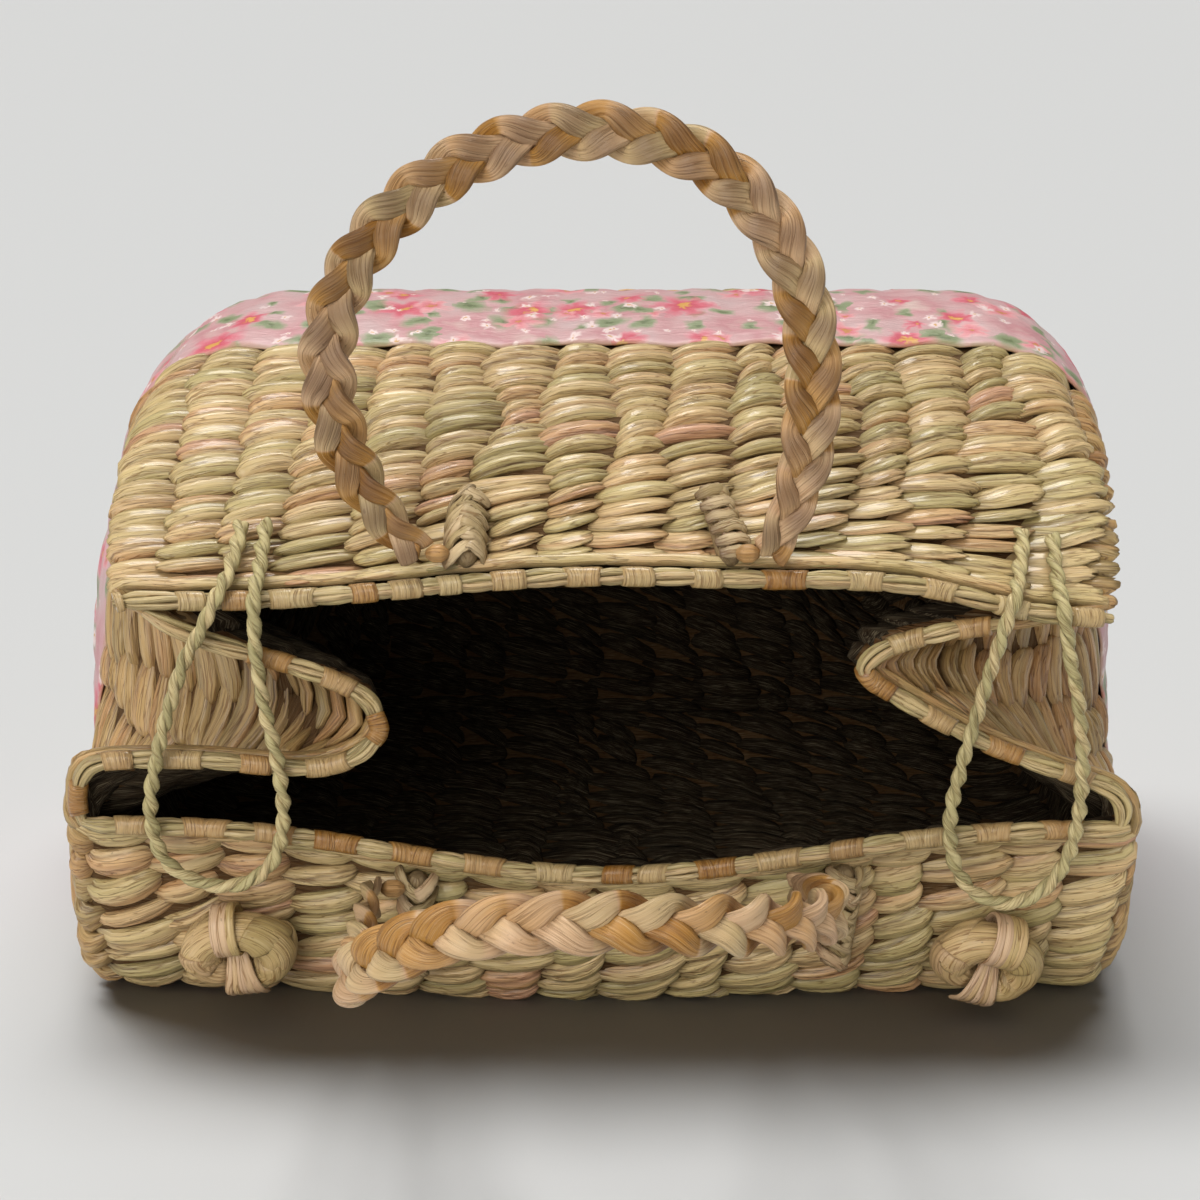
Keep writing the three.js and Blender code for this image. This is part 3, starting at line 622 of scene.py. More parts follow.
# The warp's dark brown is painted shade for the gaps between stitches.
core = grass("warp_rush_painted_shade", ["6a4c28", "7a5832"], dark="301d0e", rough=(0.6, 0.8), specular=0.2, coat=0.0)
cane_skin = grass("rim_rush", ["bba971", "c8b47a", "d4bb85", "d4af7b"], fibre=(0.03, 1.6))
wrap_skin = grass("rim_binding", ["d1ba84", "cdad75", "c79e65", "ba8842", "a4702a"], fibre=(1.3, 0.06),
                  coat=0.5)
plait_skin = grass("plaited_rush", ["c9b17c", "d6b787", "d9b28a", "ce9d5f", "bc8739", "a56f27"],
                   rough=(0.36, 0.55), fibre=(0.02, 2.2), bump=0.6, coat=0.15, patches=0.22,
                   streak=0.3, painted_crease_shade=0.45)
lash_skin = grass("lashing_grass", ["b39c6c", "c8b080", "dac096", "d6a880"], rough=(0.4, 0.6), coat=0.1)
roll_skin = grass("rolled_grass", ["b19b60", "c5ab70", "d5b77e", "ddba8a", "e2bf9c"], rough=(0.36, 0.55),
                  fibre=(0.03, 1.1), bump=0.5, coat=0.25, painted_crease_shade=0.8)
cord_skin = grass("twisted_grass_cord", ["b8ad78", "ccbf88", "dccb94", "e0c694"], rough=(0.4, 0.58), coat=0.1)

# Closure loops: two plies twisted round each other
LOOP_ROUTES = {
    "left_closure_loop": [
        (-129.5, 22, 196.9), (-130, 13, 191.4), (-132, 3, 184.7), (-134.3, -5.2, 180.7), (-136.5, -7.3, 176),
        (-141, -7.8, 167), (-148, -7.8, 154), (-156, -7.8, 131), (-162, -7.8, 107), (-163, -7.8, 91),
        (-159, -7.8, 77), (-149, -8, 69), (-137, -8, 66.5), (-126, -8, 70), (-118, -7.8, 80),
        (-115, -7.8, 95), (-116, -7.8, 115), (-120, -7.8, 138), (-122, -7.8, 158), (-122, -7.3, 175),
        (-121.5, -5.2, 181.9), (-121, 3, 185.9), (-120.8, 13, 192), (-120.5, 22, 197.4)],
    "right_closure_loop": [
        (152, 22, 194), (151, 13, 188.5), (148.5, 3, 182.1), (146.5, -5.2, 178.2), (144.5, -7.2, 172.5),
        (142, -7.8, 164), (138, -7.8, 148), (133, -7.8, 126), (128.5, -7.8, 104), (127.5, -7.8, 88),
        (131, -7.8, 73), (139, -8, 63), (151, -8, 59.5), (163, -8, 65), (171, -7.8, 78),
        (174, -7.8, 95), (174, -7.8, 117), (171, -7.8, 139), (167, -7.8, 156), (164.5, -7.2, 169),
        (163.5, -5.2, 175.5), (163, 3, 179.5), (163, 13, 185.8), (163.5, 22, 192)],
}
PLY_LEAD = 17.0  # length of one full turn of the twist
PLY_REACH = 1.2  # from the middle of the cord to the middle of a ply
PLY_WIDTH, PLY_THICK = 1.85, 1.55
for name, route in LOOP_ROUTES.items():
    path = resample(catmull(route), 1.2)
    run = run_along(path)
    frames = frames_along(path)
    build = Build()
    for ply in range(2):
        turn = 2 * np.pi * run / PLY_LEAD + np.pi * ply
        uneven = 1 + 0.06 * np.sin(run / 9 + 2 * ply) + 0.05 * np.sin(run / 23 + ply)
        tones = 0.45 + 0.35 * np.sin(run / 31 + 2.4 * ply) + rng.normal(0, 0.05, len(run))
        tube(build, wound(path, frames, turn, PLY_REACH), PLY_WIDTH * uneven, PLY_THICK * uneven, sides=14,
             tone=np.clip(tones, 0, 1), roll=turn,
             shape=lambda s, a: 1 - 0.1 * notch(np.sin(1.5 * a + 3 * s), 0.25))
    loop = build.make(name + "_cord", [cord_skin], name.replace("closure_", ""), [name])

# Stitches
OVERLAP = 0.17  # of a column, under or over each neighbour
TILT = 8.0
STITCH_WIDTH = 0.54  # half width as a share of the row pitch
STITCH_THICK = 4.1
STITCH_LENGTH = 30.0
STITCH_TURN = 100  # degrees of the section on either side of its crest
BOUNDARY_SHIFT = 0.128  # of a column
boundary_noise = rng.normal(0, 1, (ROWS + 8, COLUMNS))
for _ in range(3):
    boundary_noise = (boundary_noise + np.roll(boundary_noise, 1, 0) + np.roll(boundary_noise, -1, 0)) / 3
BOUNDARY = np.arange(COLUMNS)[None, :] + BOUNDARY_SHIFT * boundary_noise / boundary_noise.std()


def stitch_block(build, rows, columns, inner=False, along=12, across=17, surface=shell_at,
                 row_pitch=PITCH, quiet=1.0, tilt=TILT):
    """Crescent stitches: each comes out over its left neighbour and tucks under the right one."""
    row, column = (v.ravel() for v in np.meshgrid(rows, columns, indexing="ij"))
    n = len(row)
    spread = rng.normal(0, 1, (n, 16))
    line, beside = row % len(BOUNDARY), (column + 1) % COLUMNS
    start = BOUNDARY[line, column % COLUMNS]
    finish = BOUNDARY[line, beside] + np.where(beside == 0, COLUMNS, 0)
    s = np.concatenate([[0, 0.022], np.linspace(0.06, 1, along - 2)])
    angle = np.radians(np.linspace(-STITCH_TURN, STITCH_TURN, across))
    over = OVERLAP * (1 + 0.2 * spread[:, 0])[:, None]
    place = start[:, None] + (s[None, :] * (1 + 2 * over) - over) * (finish - start)[:, None]
    # From its tucked start to its tucked end: half width, height of the crest and the line it follows
    width = np.interp(s, [0, 0.022, 0.06, 0.14, 0.3, 0.5, 0.75, 0.9, 1],
                      [0.3, 0.56, 0.8, 1.0, 1.06, 1.0, 0.8, 0.6, 0.45])
    size = row_pitch * STITCH_WIDTH * np.clip(1 + 0.15 * spread[:, 1], 0.68, 1.4) * quiet
    wide = width[None, :] * size[:, None]
    crest = np.interp(s, [0, 0.022, 0.06, 0.14, 0.28, 0.5, 0.7, 0.86, 1],
                      [-2.6, -1.1, 0.3, 1.7, 2.3, 1.9, 0.5, -1.7, -3.8])
    crest = crest[None, :] * quiet + 0.4 * spread[:, 2, None]
    bowed = 0.8 * spread[:, 3, None] * np.sin(np.pi * s)[None, :]
    middle = ((row + 0.5) * row_pitch + 0.5 * spread[:, 4])[:, None]
    rise = 0.62 - (1 - s) ** 1.9
    level = np.minimum(1, 0.3 + 0.25 * row)[:, None]  # the rows beside the rim lie level
    tilt = lerp(tilt, TILT, smooth(row, 9, 15))[:, None]
    middle = (middle + level * (tilt + 1.4 * spread[:, 5, None]) * rise[None, :] + bowed * level
              - 1.5 * (1 - level))
    # Creases where the leaf is folded, drifting across as the stitch twists
    radius = np.ones((n, along, across))
    shade = np.zeros((n, along, across))
    for fold in range(4):
        at = np.radians(-62 + 38 * fold) + 0.2 * spread[:, 6 + fold, None]
        drift = at + (0.5 + 0.25 * spread[:, 10 + fold, None]) * (s[None, :] - 0.35)
        depth = np.clip(0.15 + 0.13 * spread[:, 10 + fold], 0.0, 0.4)[:, None, None]
        gap = angle[None, None, :] - drift[..., None]
        radius -= depth * (0.7 + 0.6 * s[None, :, None]) * notch(gap, 0.14)
        shade += 0.07 * spread[:, 6 + fold, None, None] * np.tanh(gap / 0.1)
    sideways = np.sin(angle)[None, None, :] * wide[..., None] * (0.5 + 0.5 * radius)
    height = crest[..., None] - STITCH_THICK + STITCH_THICK * np.cos(angle)[None, None, :] * radius
    height = np.maximum(height, -WALL * 0.6)
    quad = grid_quads(along, across)
    if inner:
        height, quad = -WALL - height, quad[:, ::-1]
    place = np.broadcast_to(place[..., None], height.shape)
    points = surface(place, middle[..., None] + sideways, height).reshape(-1, 3)
    quads = (quad[None] + (np.arange(n) * along * across)[:, None, None]).reshape(-1, 4)
    fibre = np.stack(np.broadcast_arrays(s[None, :, None] * STITCH_LENGTH, angle[None, None, :] * 4.2,
                                         spread[:, 0, None, None] * 17), -1).reshape(-1, 3)
    family = np.clip(0.5 + 0.19 * spread[:, 15] + 0.06 * np.sin(row * 0.7 + column), 0.0, 1.0)
    tone = np.clip(family[:, None, None] + shade, 0, 1).ravel()
    # Painted shade: dark where it tucks under, along its sides and in its creases
    edge = np.interp(s, [0, 0.03, 0.08, 0.66, 0.84, 0.93, 1], [0.5, 0.15, 0, 0, 0.3, 0.7, 1])
    low = smooth(-np.cos(angle), -0.3, 0.2)
    painted_shade_and_wear = np.clip(edge[None, :, None] + low[None, None, :] * 0.7 + (1 - radius) * 1.9, 0, 1).ravel()
    build.add(points, quads, fibre, tone, painted_shade_and_wear, int(inner))


CORE_OUT, CORE_BACK = -2.6, -4.4


def core_plate(build, first, last, run_to, surface=shell_at, rows=40):
    """The warp between the two faces of stitches; it shows in the gaps between them, coloured dark as painted
    shade.
    """
    wide = int((last - first) * 3) + 1
    column, run = np.meshgrid(np.linspace(first, last, wide), np.linspace(0, run_to, rows))
    faces = [surface(column, run, np.full_like(column, height)).reshape(-1, 3)
             for height in (CORE_OUT, CORE_BACK)]
    quads = grid_quads(rows, wide)
    numbers = np.arange(rows * wide).reshape(rows, wide)
    ring = np.concatenate([numbers[0], numbers[1:, -1], numbers[-1, -2::-1], numbers[-2:0:-1, 0]])
    after = np.roll(ring, -1)
    sides = np.stack([ring + numbers.size, after + numbers.size, after, ring], -1)
    fibre = np.stack([column.ravel() * 25, run.ravel(), 0 * run.ravel()], -1)
    build.add(np.vstack(faces), np.vstack([quads, quads[:, ::-1] + numbers.size, sides]),
              np.vstack([fibre, fibre]), 0.5, 0.4, 2)


BAND_RUN = [float(np.interp(t, SHARES, RUN)) for t in (BAND_START, BAND_END)]
BAND_LAP = 3.0  # how far the band covers the rows at its edges
BAND_THICK = 0.8
open_rows = [r for r in range(ROWS)
             if not BAND_RUN[0] + BAND_LAP < (r + 0.5) * PITCH < BAND_RUN[1] - BAND_LAP]
GUSSET_TILTS = {"left_gusset_lower": 15.0, "right_gusset_lower": -15.0}
for name, (first, count) in SPANS.items():
    gusset = "gusset" in name
    build = Build()
    columns = np.arange(first, first + count)
    stitch_block(build, np.array(open_rows), columns, tilt=GUSSET_TILTS.get(name, TILT),
                 quiet=0.86 if gusset else 1.0)
    stitch_block(build, np.arange(ROWS), columns, inner=True, along=7, across=6)
    core_plate(build, first, first + count, RUN[-1])
    marks = np.linspace(first, first + count, count * 6)
    border = shell_at(marks, 1.9 + 0.3 * np.sin(marks * 5), -0.4)
    tube(build, border, 2.1, 2.3, sides=10, tone=0.45 + 0.2 * np.sin(np.arange(30) * 1.3))
    skins = [shaded_gusset_weave if gusset else weave, shaded_inside_weave, core]
    build.make(name + "_weave", skins, "basket", [name])

# Base: rounds of the same stitches, from its edge to two hearts
EDGE = OUTER[-1]
HEART = np.stack([np.clip(EDGE[:, 0], -95, 95) * 0.92, EDGE[:, 1], np.full(len(EDGE), MIDDLE_HEIGHT)], 1)
BASE_RUN = 84.0
BASE_ROWS = 10


def base_at(column, run, height):
    column, run, height = np.broadcast_arrays(column, run, height)
    point = sample(np.stack([EDGE, HEART]), column, np.clip((run - 1) / BASE_RUN, 0, 1))
    point[..., 1] += height
    return point


build = Build()
for inner, along, across in ((False, 9, 9), (True, 6, 5)):
    stitch_block(build, np.arange(BASE_ROWS), np.arange(COLUMNS), inner=inner, along=along, across=across,
                 surface=base_at, row_pitch=BASE_RUN / BASE_ROWS)
core_plate(build, 0, COLUMNS, BASE_RUN, surface=base_at, rows=14)
build.make("base_weave", [weave, shaded_inside_weave, core], "basket", ["base_mat"])


# Printed band: a thin skin that follows the stitches under it
def print_material():
    n = Nodes("floral_print")
    where = n.attribute("fibre").outputs["Vector"]
    drift = n.vector("MULTIPLY", n.noise(where, 0.11, 3.0)[1], (12, 12, 0))
    at = n.vector("ADD", where, drift)
    color = n.ramp(n.noise(where, 0.035, 3.0)[0],
                   [(0.3, "cdb0b0"), (0.48, "cfa5a6"), (0.6, "c88f94"), (0.75, "d8beb6")])
    # Leaves, large blossoms, small blossoms and buds: cell, radius, petals, colours, offset, share left out
    for cell, radius, petals, inside, outside, heart, offset, bare in (
            (17, 8.5, 2, "7f8a63", "9aa583", "6c7852", (40, 9, 0), 0.35),
            (30, 12.5, 6, "c9485c", "e28795", "d9a24e", (3, 14, 0), 0.25),
            (26, 9.5, 5, "d8747f", "eeb2b4", "c98a4e", (71, 33, 0), 0.45),
            (13, 3.6, 5, "ecd3d0", "f0dedb", "d7a867", (23, 51, 0), 0.6)):
        flat = n.vector("MULTIPLY", n.vector("ADD", at, offset), (1 / cell, 1 / cell, 0))
        cells = n.new("ShaderNodeTexVoronoi", voronoi_dimensions="2D", feature="F1")
        n.put(cells.inputs["Vector"], flat)
        cells.inputs["Scale"].default_value = 1.0
        cells.inputs["Randomness"].default_value = 0.8
        local = n.vector("SUBTRACT", flat, cells.outputs["Position"])
        x, y, _ = n.split(local)
        spin, growth, chance = n.split(cells.outputs["Color"])
        angle = n.math("ADD", n.math("ARCTAN2", y, x), n.math("MULTIPLY", spin, 6.28))
        length = n.math("MULTIPLY", n.vector("LENGTH", local), cell)
        lobe = n.math("ABSOLUTE", n.math("COSINE", n.math("MULTIPLY", angle, petals / 2)))
        size = n.math("MULTIPLY", n.math("ADD", n.math("MULTIPLY", lobe, 0.45), 0.55),
                      n.math("MULTIPLY", n.math("ADD", growth, 0.5), radius))
        ratio = n.math("DIVIDE", length, size)
        mask = n.math("SUBTRACT", 1.0, n.ramp(ratio, [(0.5, 0.0), (1.05, 1.0)]))
        petal = n.mix(n.ramp(ratio, [(0.15, 0.0), (0.85, 1.0)]), inside, outside)
        petal = n.mix(n.ramp(lobe, [(0.0, 0.5), (0.35, 0.0)]), petal, inside)
        petal = n.mix(n.ramp(ratio, [(0.14, 1.0), (0.24, 0.0)]), petal, heart)
        shown = n.math("MULTIPLY", mask, n.math("GREATER_THAN", chance, bare))
        color = n.mix(shown, color, petal)
    worn = n.noise(where, 0.9, 3.0, 0.6)[0]
    color = n.mix(n.ramp(worn, [(0.6, 0.0), (0.85, 0.5)]), color, "efdcd8")
    n.link(n.mix(n.attribute("painted_shade_and_wear").outputs["Fac"], color, "b99a72"), n.shader.inputs["Base Color"])
    n.link(n.math("ADD", n.math("MULTIPLY", worn, 0.2), 0.32), n.shader.inputs["Roughness"])
    n.shader.inputs["Specular IOR Level"].default_value = 0.5
    wrinkle = n.noise(n.vector("MULTIPLY", where, (0.22, 0.6, 1)), 1.0, 3.0)[0]
    n.link(n.bump(wrinkle, 0.35, 0.0012), n.shader.inputs["Normal"])
    return n.material


floral = print_material()


def relief(column, run):
    """Softened height of the stitches under the skin, 0 to 1."""
    share = column - np.floor(column)
    lean = run - 0.6 * TILT * (share - 0.5)
    rows = np.abs(np.sin(np.pi * lean / PITCH)) ** 0.9
    columns = np.minimum(1, np.sin(np.pi * share) ** 1.1 * 1.25)
    return rows * columns


build = Build()
column, across = np.meshgrid(np.linspace(0, COLUMNS, COLUMNS * 9 + 1)[:-1], np.linspace(0, 1, 29))
wavy = 1.3 * np.sin(column * 1.9) + 0.8 * np.sin(column * 4.7 + 1)
low = BAND_RUN[0] + 1.2 + wavy * 0.8
top = BAND_RUN[1] - 1.2 + 1.2 * np.sin(column * 1.3 + 2) + 0.7 * np.sin(column * 5.1)
runs = lerp(low, top, across)
from_edge = np.minimum(across, 1 - across)
height = (0.35 + 1.15 * relief(column, runs) * (0.8 + 0.2 * np.sin(column * 2.1 + runs * 0.2))
          - 0.5 * (1 - smooth(from_edge, 0, 0.05)))
skin = shell_at(column, runs, height)
under = shell_at(column, runs, height - BAND_THICK)
quads = grid_quads(*column.shape, wrap=True)
numbers = np.arange(column.size).reshape(column.shape)
rim = []
for ring, outer, inner in ((numbers[0], column.size, 0), (numbers[-1], 0, column.size)):
    after = np.roll(ring, -1)
    rim.append(np.stack([ring + outer, after + outer, after + inner, ring + inner], -1))
fibre = np.stack([column.ravel() * 25.2, runs.ravel(), 0 * runs.ravel()], -1)
worn_edge = (1 - smooth(from_edge, 0, 0.03)).ravel() * 0.6
build.add(np.vstack([skin.reshape(-1, 3), under.reshape(-1, 3)]),
          np.vstack([quads, quads[:, ::-1] + column.size] + rim),
          np.vstack([fibre, fibre]), 0.5, np.concatenate([worn_edge, worn_edge]))
build.make("printed_band", [floral], "basket", ["floral_print_band"])

# Rims: bundles of stalks with strips bound round them
HALF_WALL = WALL / 2


def rim_line(names, sunk):
    """The line of a rim: from the outer face of a wall to the middle of a fold's edge."""
    lines = []
    for name, off_face in zip(names, sunk):
        first, count = SPANS[name]
        marks = np.linspace(0, 1, count * 4 + 1)
        column = first + marks * count
        face, middle = shell_at(column, 0, 0), shell_at(column, 0, -HALF_WALL)
        near = 1 - marks if name == "left_gusset_upper" else marks
        share = np.ones_like(marks) if off_face == 0 else smooth(near, 0.6, 0.9)
        share = share if len(names) > 1 else 0 * share
        proud = np.stack([face[:, 0], 0 * column, face[:, 2] + off_face], 1)
        lines.append(lerp(proud, middle, share[:, None]))
    line = np.concatenate([part[:-1] for part in lines[:-1]] + lines[-1:])
    line[:, 1] = 0
    return line


# Panels along each rim, how far it stands off their faces, and what is cut off its start and end, mm
CANES = {
    "back_rim_cane": (["back_wall"], [-HALF_WALL], 1, 1),
    "right_gusset_rim_cane": (["right_gusset_upper", "right_gusset_lower"], [HALF_WALL, 0], 40, 1),
    "front_rim_cane": (["front_wall"], [HALF_WALL], 3, 2),
    "left_gusset_rim_cane": (["left_gusset_lower", "left_gusset_upper"], [0, HALF_WALL], 1, 16),
}
# Bindings: where each starts and ends along X or along the rim, mm, and its tone
BACK_WRAPS = [(-178, -170, 0.2), (-150, -141, 0.1), (-134, -125, 0.5), (-117, -101, 0.1), (-88, -80, 0.7),
              (-74, -64, 0.15), (-57, -50, 0.1), (-38, -27, 0.3), (-12, 0, 0.3), (8, 18, 0.2), (33, 42, 0.2),
              (58, 73, 0.95), (88, 100, 0.15), (115, 126, 0.3), (141, 152, 0.1), (168, 178, 0.3)]
FRONT_WRAPS = [(-178, -166, 0.3), (-153, -137, 0.45), (-127, -113, 0.5), (-105, -89, 0.8),
               (-77, -62, 0.75), (-50, -36, 0.45), (-24, -10, 0.2), (2, 12, 0.95), (16, 25, 0.2),
               (36, 50, 0.85), (58, 74, 0.3), (86, 97, 0.5), (112, 127, 0.15), (138, 151, 0.4),
               (163, 177, 0.6)]

STALKS = 6
STALK_REACH, STALK_RADIUS = 2.15, 1.4
STRIP_WIDTH = 7.5  # of a binding


def cane(name, wraps, along_x):
    names, sunk, start, end = CANES[name]
    line = resample(rim_line(names, sunk), 1.0)
    run = run_along(line)
    line = line[(run >= start) & (run <= run[-1] - end)]
    for _ in range(6):
        line[1:-1] = (line[:-2] + 2 * line[1:-1] + line[2:]) / 4
    path = resample(line, 1.5)
    run = run_along(path)
    if along_x:
        order = np.argsort(path[:, 0])
        wraps = [tuple(sorted(np.interp([a, b], path[order, 0], run[order]))) + (tone,)
                 for a, b, tone in wraps]
    frames = frames_along(path, Y_AXIS)
    build = Build()
    bound = np.zeros_like(run)
    for a, b, _ in wraps:
        bound = np.maximum(bound, smooth(run, a - 5, a) * (1 - smooth(run, b, b + 5)))
    from_end = np.minimum(run, run[-1] - run)
    for stalk in range(STALKS):
        turn = stalk * 2 * np.pi / STALKS + run / 70 + 0.5 * np.sin(run / 17 + stalk)
        reach = (STALK_REACH - 0.35 * bound) * lerp(0.5, 1, smooth(from_end, 0, 9))
        thick = STALK_RADIUS + 0.18 * np.sin(run / 13 + 2 * stalk) - 0.15 * bound
        tones = np.clip(0.5 + 0.28 * np.sin(run / 40 + 1.7 * stalk) + rng.normal(0, 0.1), 0, 1)
        # Painted shade on the stalks where the bindings wrap over them.
        tube(build, wound(path, frames, turn, reach), thick * lerp(0.6, 1, smooth(from_end, -2, 9)), sides=8,
             tone=tones, painted_shade_and_wear=0.15 * bound)
    for a, b, tone in wraps:
        turns = max(1, int(round((b - a) / STRIP_WIDTH)))
        for k in range(turns):
            low, high = lerp(a, b, k / turns) - 0.5, lerp(a, b, (k + 1) / turns) + 0.5
            centre = points_at(path, run, np.linspace(low, high, 7))
            swell = np.array([0.96, 1.0, 1.01, 1.02, 1.01, 1.0, 0.96]) * (CANE_RADIUS + 0.12)
            lean = 0.35 * (1 if k % 2 else -1) + rng.normal(0, 0.1)
            here = frames_along(centre, Y_AXIS)
            tube(build, centre, swell, sides=16, frames=here, round_ends=False, slot=1,
                 tone=np.clip(tone + rng.normal(0, 0.06), 0, 1), painted_shade_and_wear=0.12,
                 shape=lambda s, ang: 1 + 0.035 * np.cos(2 * ang + k) + 0.02 * np.cos(5 * ang))
            slant(build, centre.mean(axis=0), here[2].mean(axis=0), unit(here[0].mean(axis=0)), lean)
    build.make(name + "_bundle", [cane_skin, wrap_skin], "basket", [name])


cane("back_rim_cane", BACK_WRAPS, True)
cane("front_rim_cane", FRONT_WRAPS, True)
cane("left_gusset_rim_cane", [(4, 16, 0.9), (30, 40, 0.4), (52, 66, 0.2), (80, 90, 0.6), (104, 120, 0.35),
                              (132, 143, 0.9), (156, 168, 0.5), (180, 196, 0.7)], False)
cane("right_gusset_rim_cane", [(6, 18, 0.5), (30, 42, 0.2), (56, 70, 0.85), (84, 96, 0.4),
                               (110, 124, 0.7), (140, 152, 0.3)], False)

# Plaited handles
PLAIT_PERIOD = 49.0
PLAIT_SWING, PLAIT_DEPTH = 5.75, 3.3
LEAF_WIDTH, LEAF_THICK = 5.3, 1.85
LEAF_ROLL = math.radians(28)
# The arches in mm: height over the joint, half width, half width at the foot, shift along X, sideways
# sway, twist and forward bow; lean in degrees; size of the plait at its feet
HANDLES = {
    "back_handle": dict(rise=148.5, half=83.5, foot=0.743 * 83.5, centre=-2.5, sway=-8, twist=0, bow=0,
                        lean=0, sideways=False, slim=0.72, first_leaf=0, joint="back_handle_swing"),
    "front_handle": dict(rise=156, half=81, foot=0.963 * 81, centre=-6, sway=3, twist=11, bow=13,
                         lean=67, sideways=True, slim=0.64, first_leaf=4, joint="front_handle_swing"),
}
JOINTS = {joint["name"]: joint for joint in frame["joints"]}


def arch_path(h):
    foot_angle = math.acos(h["foot"] / h["half"])
    angle = np.linspace(math.pi + foot_angle, -foot_angle, 361)
    shoulder = h["rise"] - h["half"]
    drop = shoulder / math.sin(foot_angle)
    z = shoulder + np.sin(angle) * np.where(np.sin(angle) < 0, drop, h["half"])
    high = z / h["rise"]
    x = h["centre"] + h["half"] * np.cos(angle) + h["sway"] * np.sin(np.pi * high)
    y = np.sin(np.pi * high) * (h["twist"] * np.cos(angle) - h["bow"])
    return np.stack([x, y, z], 1)


def handle_place(h, local):
    lean = math.radians(h["lean"])
    at = np.array(JOINTS[h["joint"]]["pos_m"]) * 1000 - OFFSET
    y = local[..., 1] * math.cos(lean) - local[..., 2] * math.sin(lean) + at[1]
    z = local[..., 1] * math.sin(lean) + local[..., 2] * math.cos(lean) + at[2]
    return np.stack([local[..., 0], y, z], -1)


def ribbon_shape(seed):
    """A flat leaf ribbon: full across its faces, with sharp folds along it."""
    folds = np.random.default_rng(seed).uniform(0, 2 * np.pi, 5)

    def shape(s, angle):
        full = (np.abs(np.cos(angle)) ** 3.2 + np.abs(np.sin(angle)) ** 3.2) ** (-1 / 3.2)
        r = np.minimum(full, 1.16) * (1 + 0 * s)
        for k, fold in enumerate(folds):
            r = r - 0.17 * notch(turned_back(angle - fold - 0.8 * np.sin(s * 13 + 2 * k)), 0.13)
        return r

    return shape


LEAF_TONES = [0.12, 0.3, 0.42, 0.28, 0.6, 0.8, 0.45, 0.22, 0.94, 0.55, 0.38, 0.72]
for name, h in HANDLES.items():
    centre = resample(arch_path(h), 1.0)
    run = run_along(centre)
    turns = round(run[-1] / PLAIT_PERIOD)
    _, side, up = frames_along(centre, Y_AXIS)
    lateral, normal, sign = (up, side, -1) if h["sideways"] else (side, up, 1)
    from_foot = np.minimum(run, run[-1] - run) / PLAIT_PERIOD
    size = lerp(h["slim"], 1.0, smooth(from_foot, 0, 1))
    for strand in range(3):
        phase = 2 * np.pi * turns * run / run[-1] + 2 * np.pi * strand / 3
        swing = PLAIT_SWING * np.sin(phase) - 0.8 * np.sin(3 * phase)
        path = (centre + lateral * (size * swing)[:, None]
                + normal * (PLAIT_DEPTH * size * np.sin(2 * phase))[:, None])
        leaf = np.floor((phase - 0.5 * np.pi) / np.pi).astype(int)
        picks = np.array([LEAF_TONES[(5 * k + 3 * strand + h["first_leaf"]) % len(LEAF_TONES)]
                          for k in range(leaf.max() + 2)])
        tones = np.clip(picks[leaf] + 0.06 * np.sin(run / 5 + strand), 0, 1)
        # Painted shade where the strand passes under the others.
        painted_tuck_shade = np.clip(-np.sin(2 * phase) - 0.3, 0, 1)
        broad = (LEAF_WIDTH + 0.25 * np.sin(run / 11 + strand) - 1.9 * np.abs(np.sin(phase)) ** 5) * size
        frames = [handle_place(h, v) - handle_place(h, 0 * v) for v in frames_along(path, normal)]
        build = Build()
        tube(build, handle_place(h, path), broad, LEAF_THICK * size, sides=24,
             roll=sign * LEAF_ROLL * np.cos(phase), tone=tones, painted_shade_and_wear=painted_tuck_shade, shape=ribbon_shape(strand + 5),
             frames=frames)
        letter = "abc"[strand]
        build.make(f"{name}_plait_{letter}", [plait_skin], name, [f"{name}_strand_{letter}"])

# Lashings: a row of half hitches beside each foot, with the plait's cut core
LASHINGS = [
    # name, wall, x, first run, drift along X
    ("back_handle_left", "back_wall", -48.5, 0.8, 2),
    ("back_handle_right", "back_wall", 43.5, 0.8, -7),
    ("front_handle_left", "front_wall", -68, 3.7, 0),
    ("front_handle_right", "front_wall", 88, 3.7, 0),
]
LASH_LENGTH = 40.0
HITCHES = 6
PLAIN = 8  # the place in a hitch's jogs that holds none
# The three flat strips of a hitch: half width, then points by share along the lashing, jog, sideways mm,
# height mm and height as a share of the hitch's own
HITCH_STRIPS = [
    (2.3, [(-0.1, 0, -7.0, 0.5, 0), (-0.07, PLAIN, -6.4, 0, 0.42), (-0.02, 1, -4.0, 0, 0.8),
           (0.03, PLAIN, -0.6, 0, 0.98), (0.09, 2, 1.8, 0, 0.95), (0.13, PLAIN, 2.6, 0, 0.66)]),
    (2.7, [(0.06, PLAIN, -1.6, 0, 0.7), (0.015, 3, 0.4, 0, 1.02), (-0.005, PLAIN, 3.2, 0, 0.88),
           (-0.01, 4, 5.6, 0, 0.52), (-0.03, PLAIN, 7.0, 0.4, 0)]),
    (1.7, [(0.02, PLAIN, -5.6, 0, 0.36), (0.03, 5, -3.4, 0, 0.62), (0.06, PLAIN, -1.2, 0, 0.86),
           (0.11, PLAIN, 0.6, 0, 0.9), (0.16, 6, 1.2, 0, 0.7)]),
]
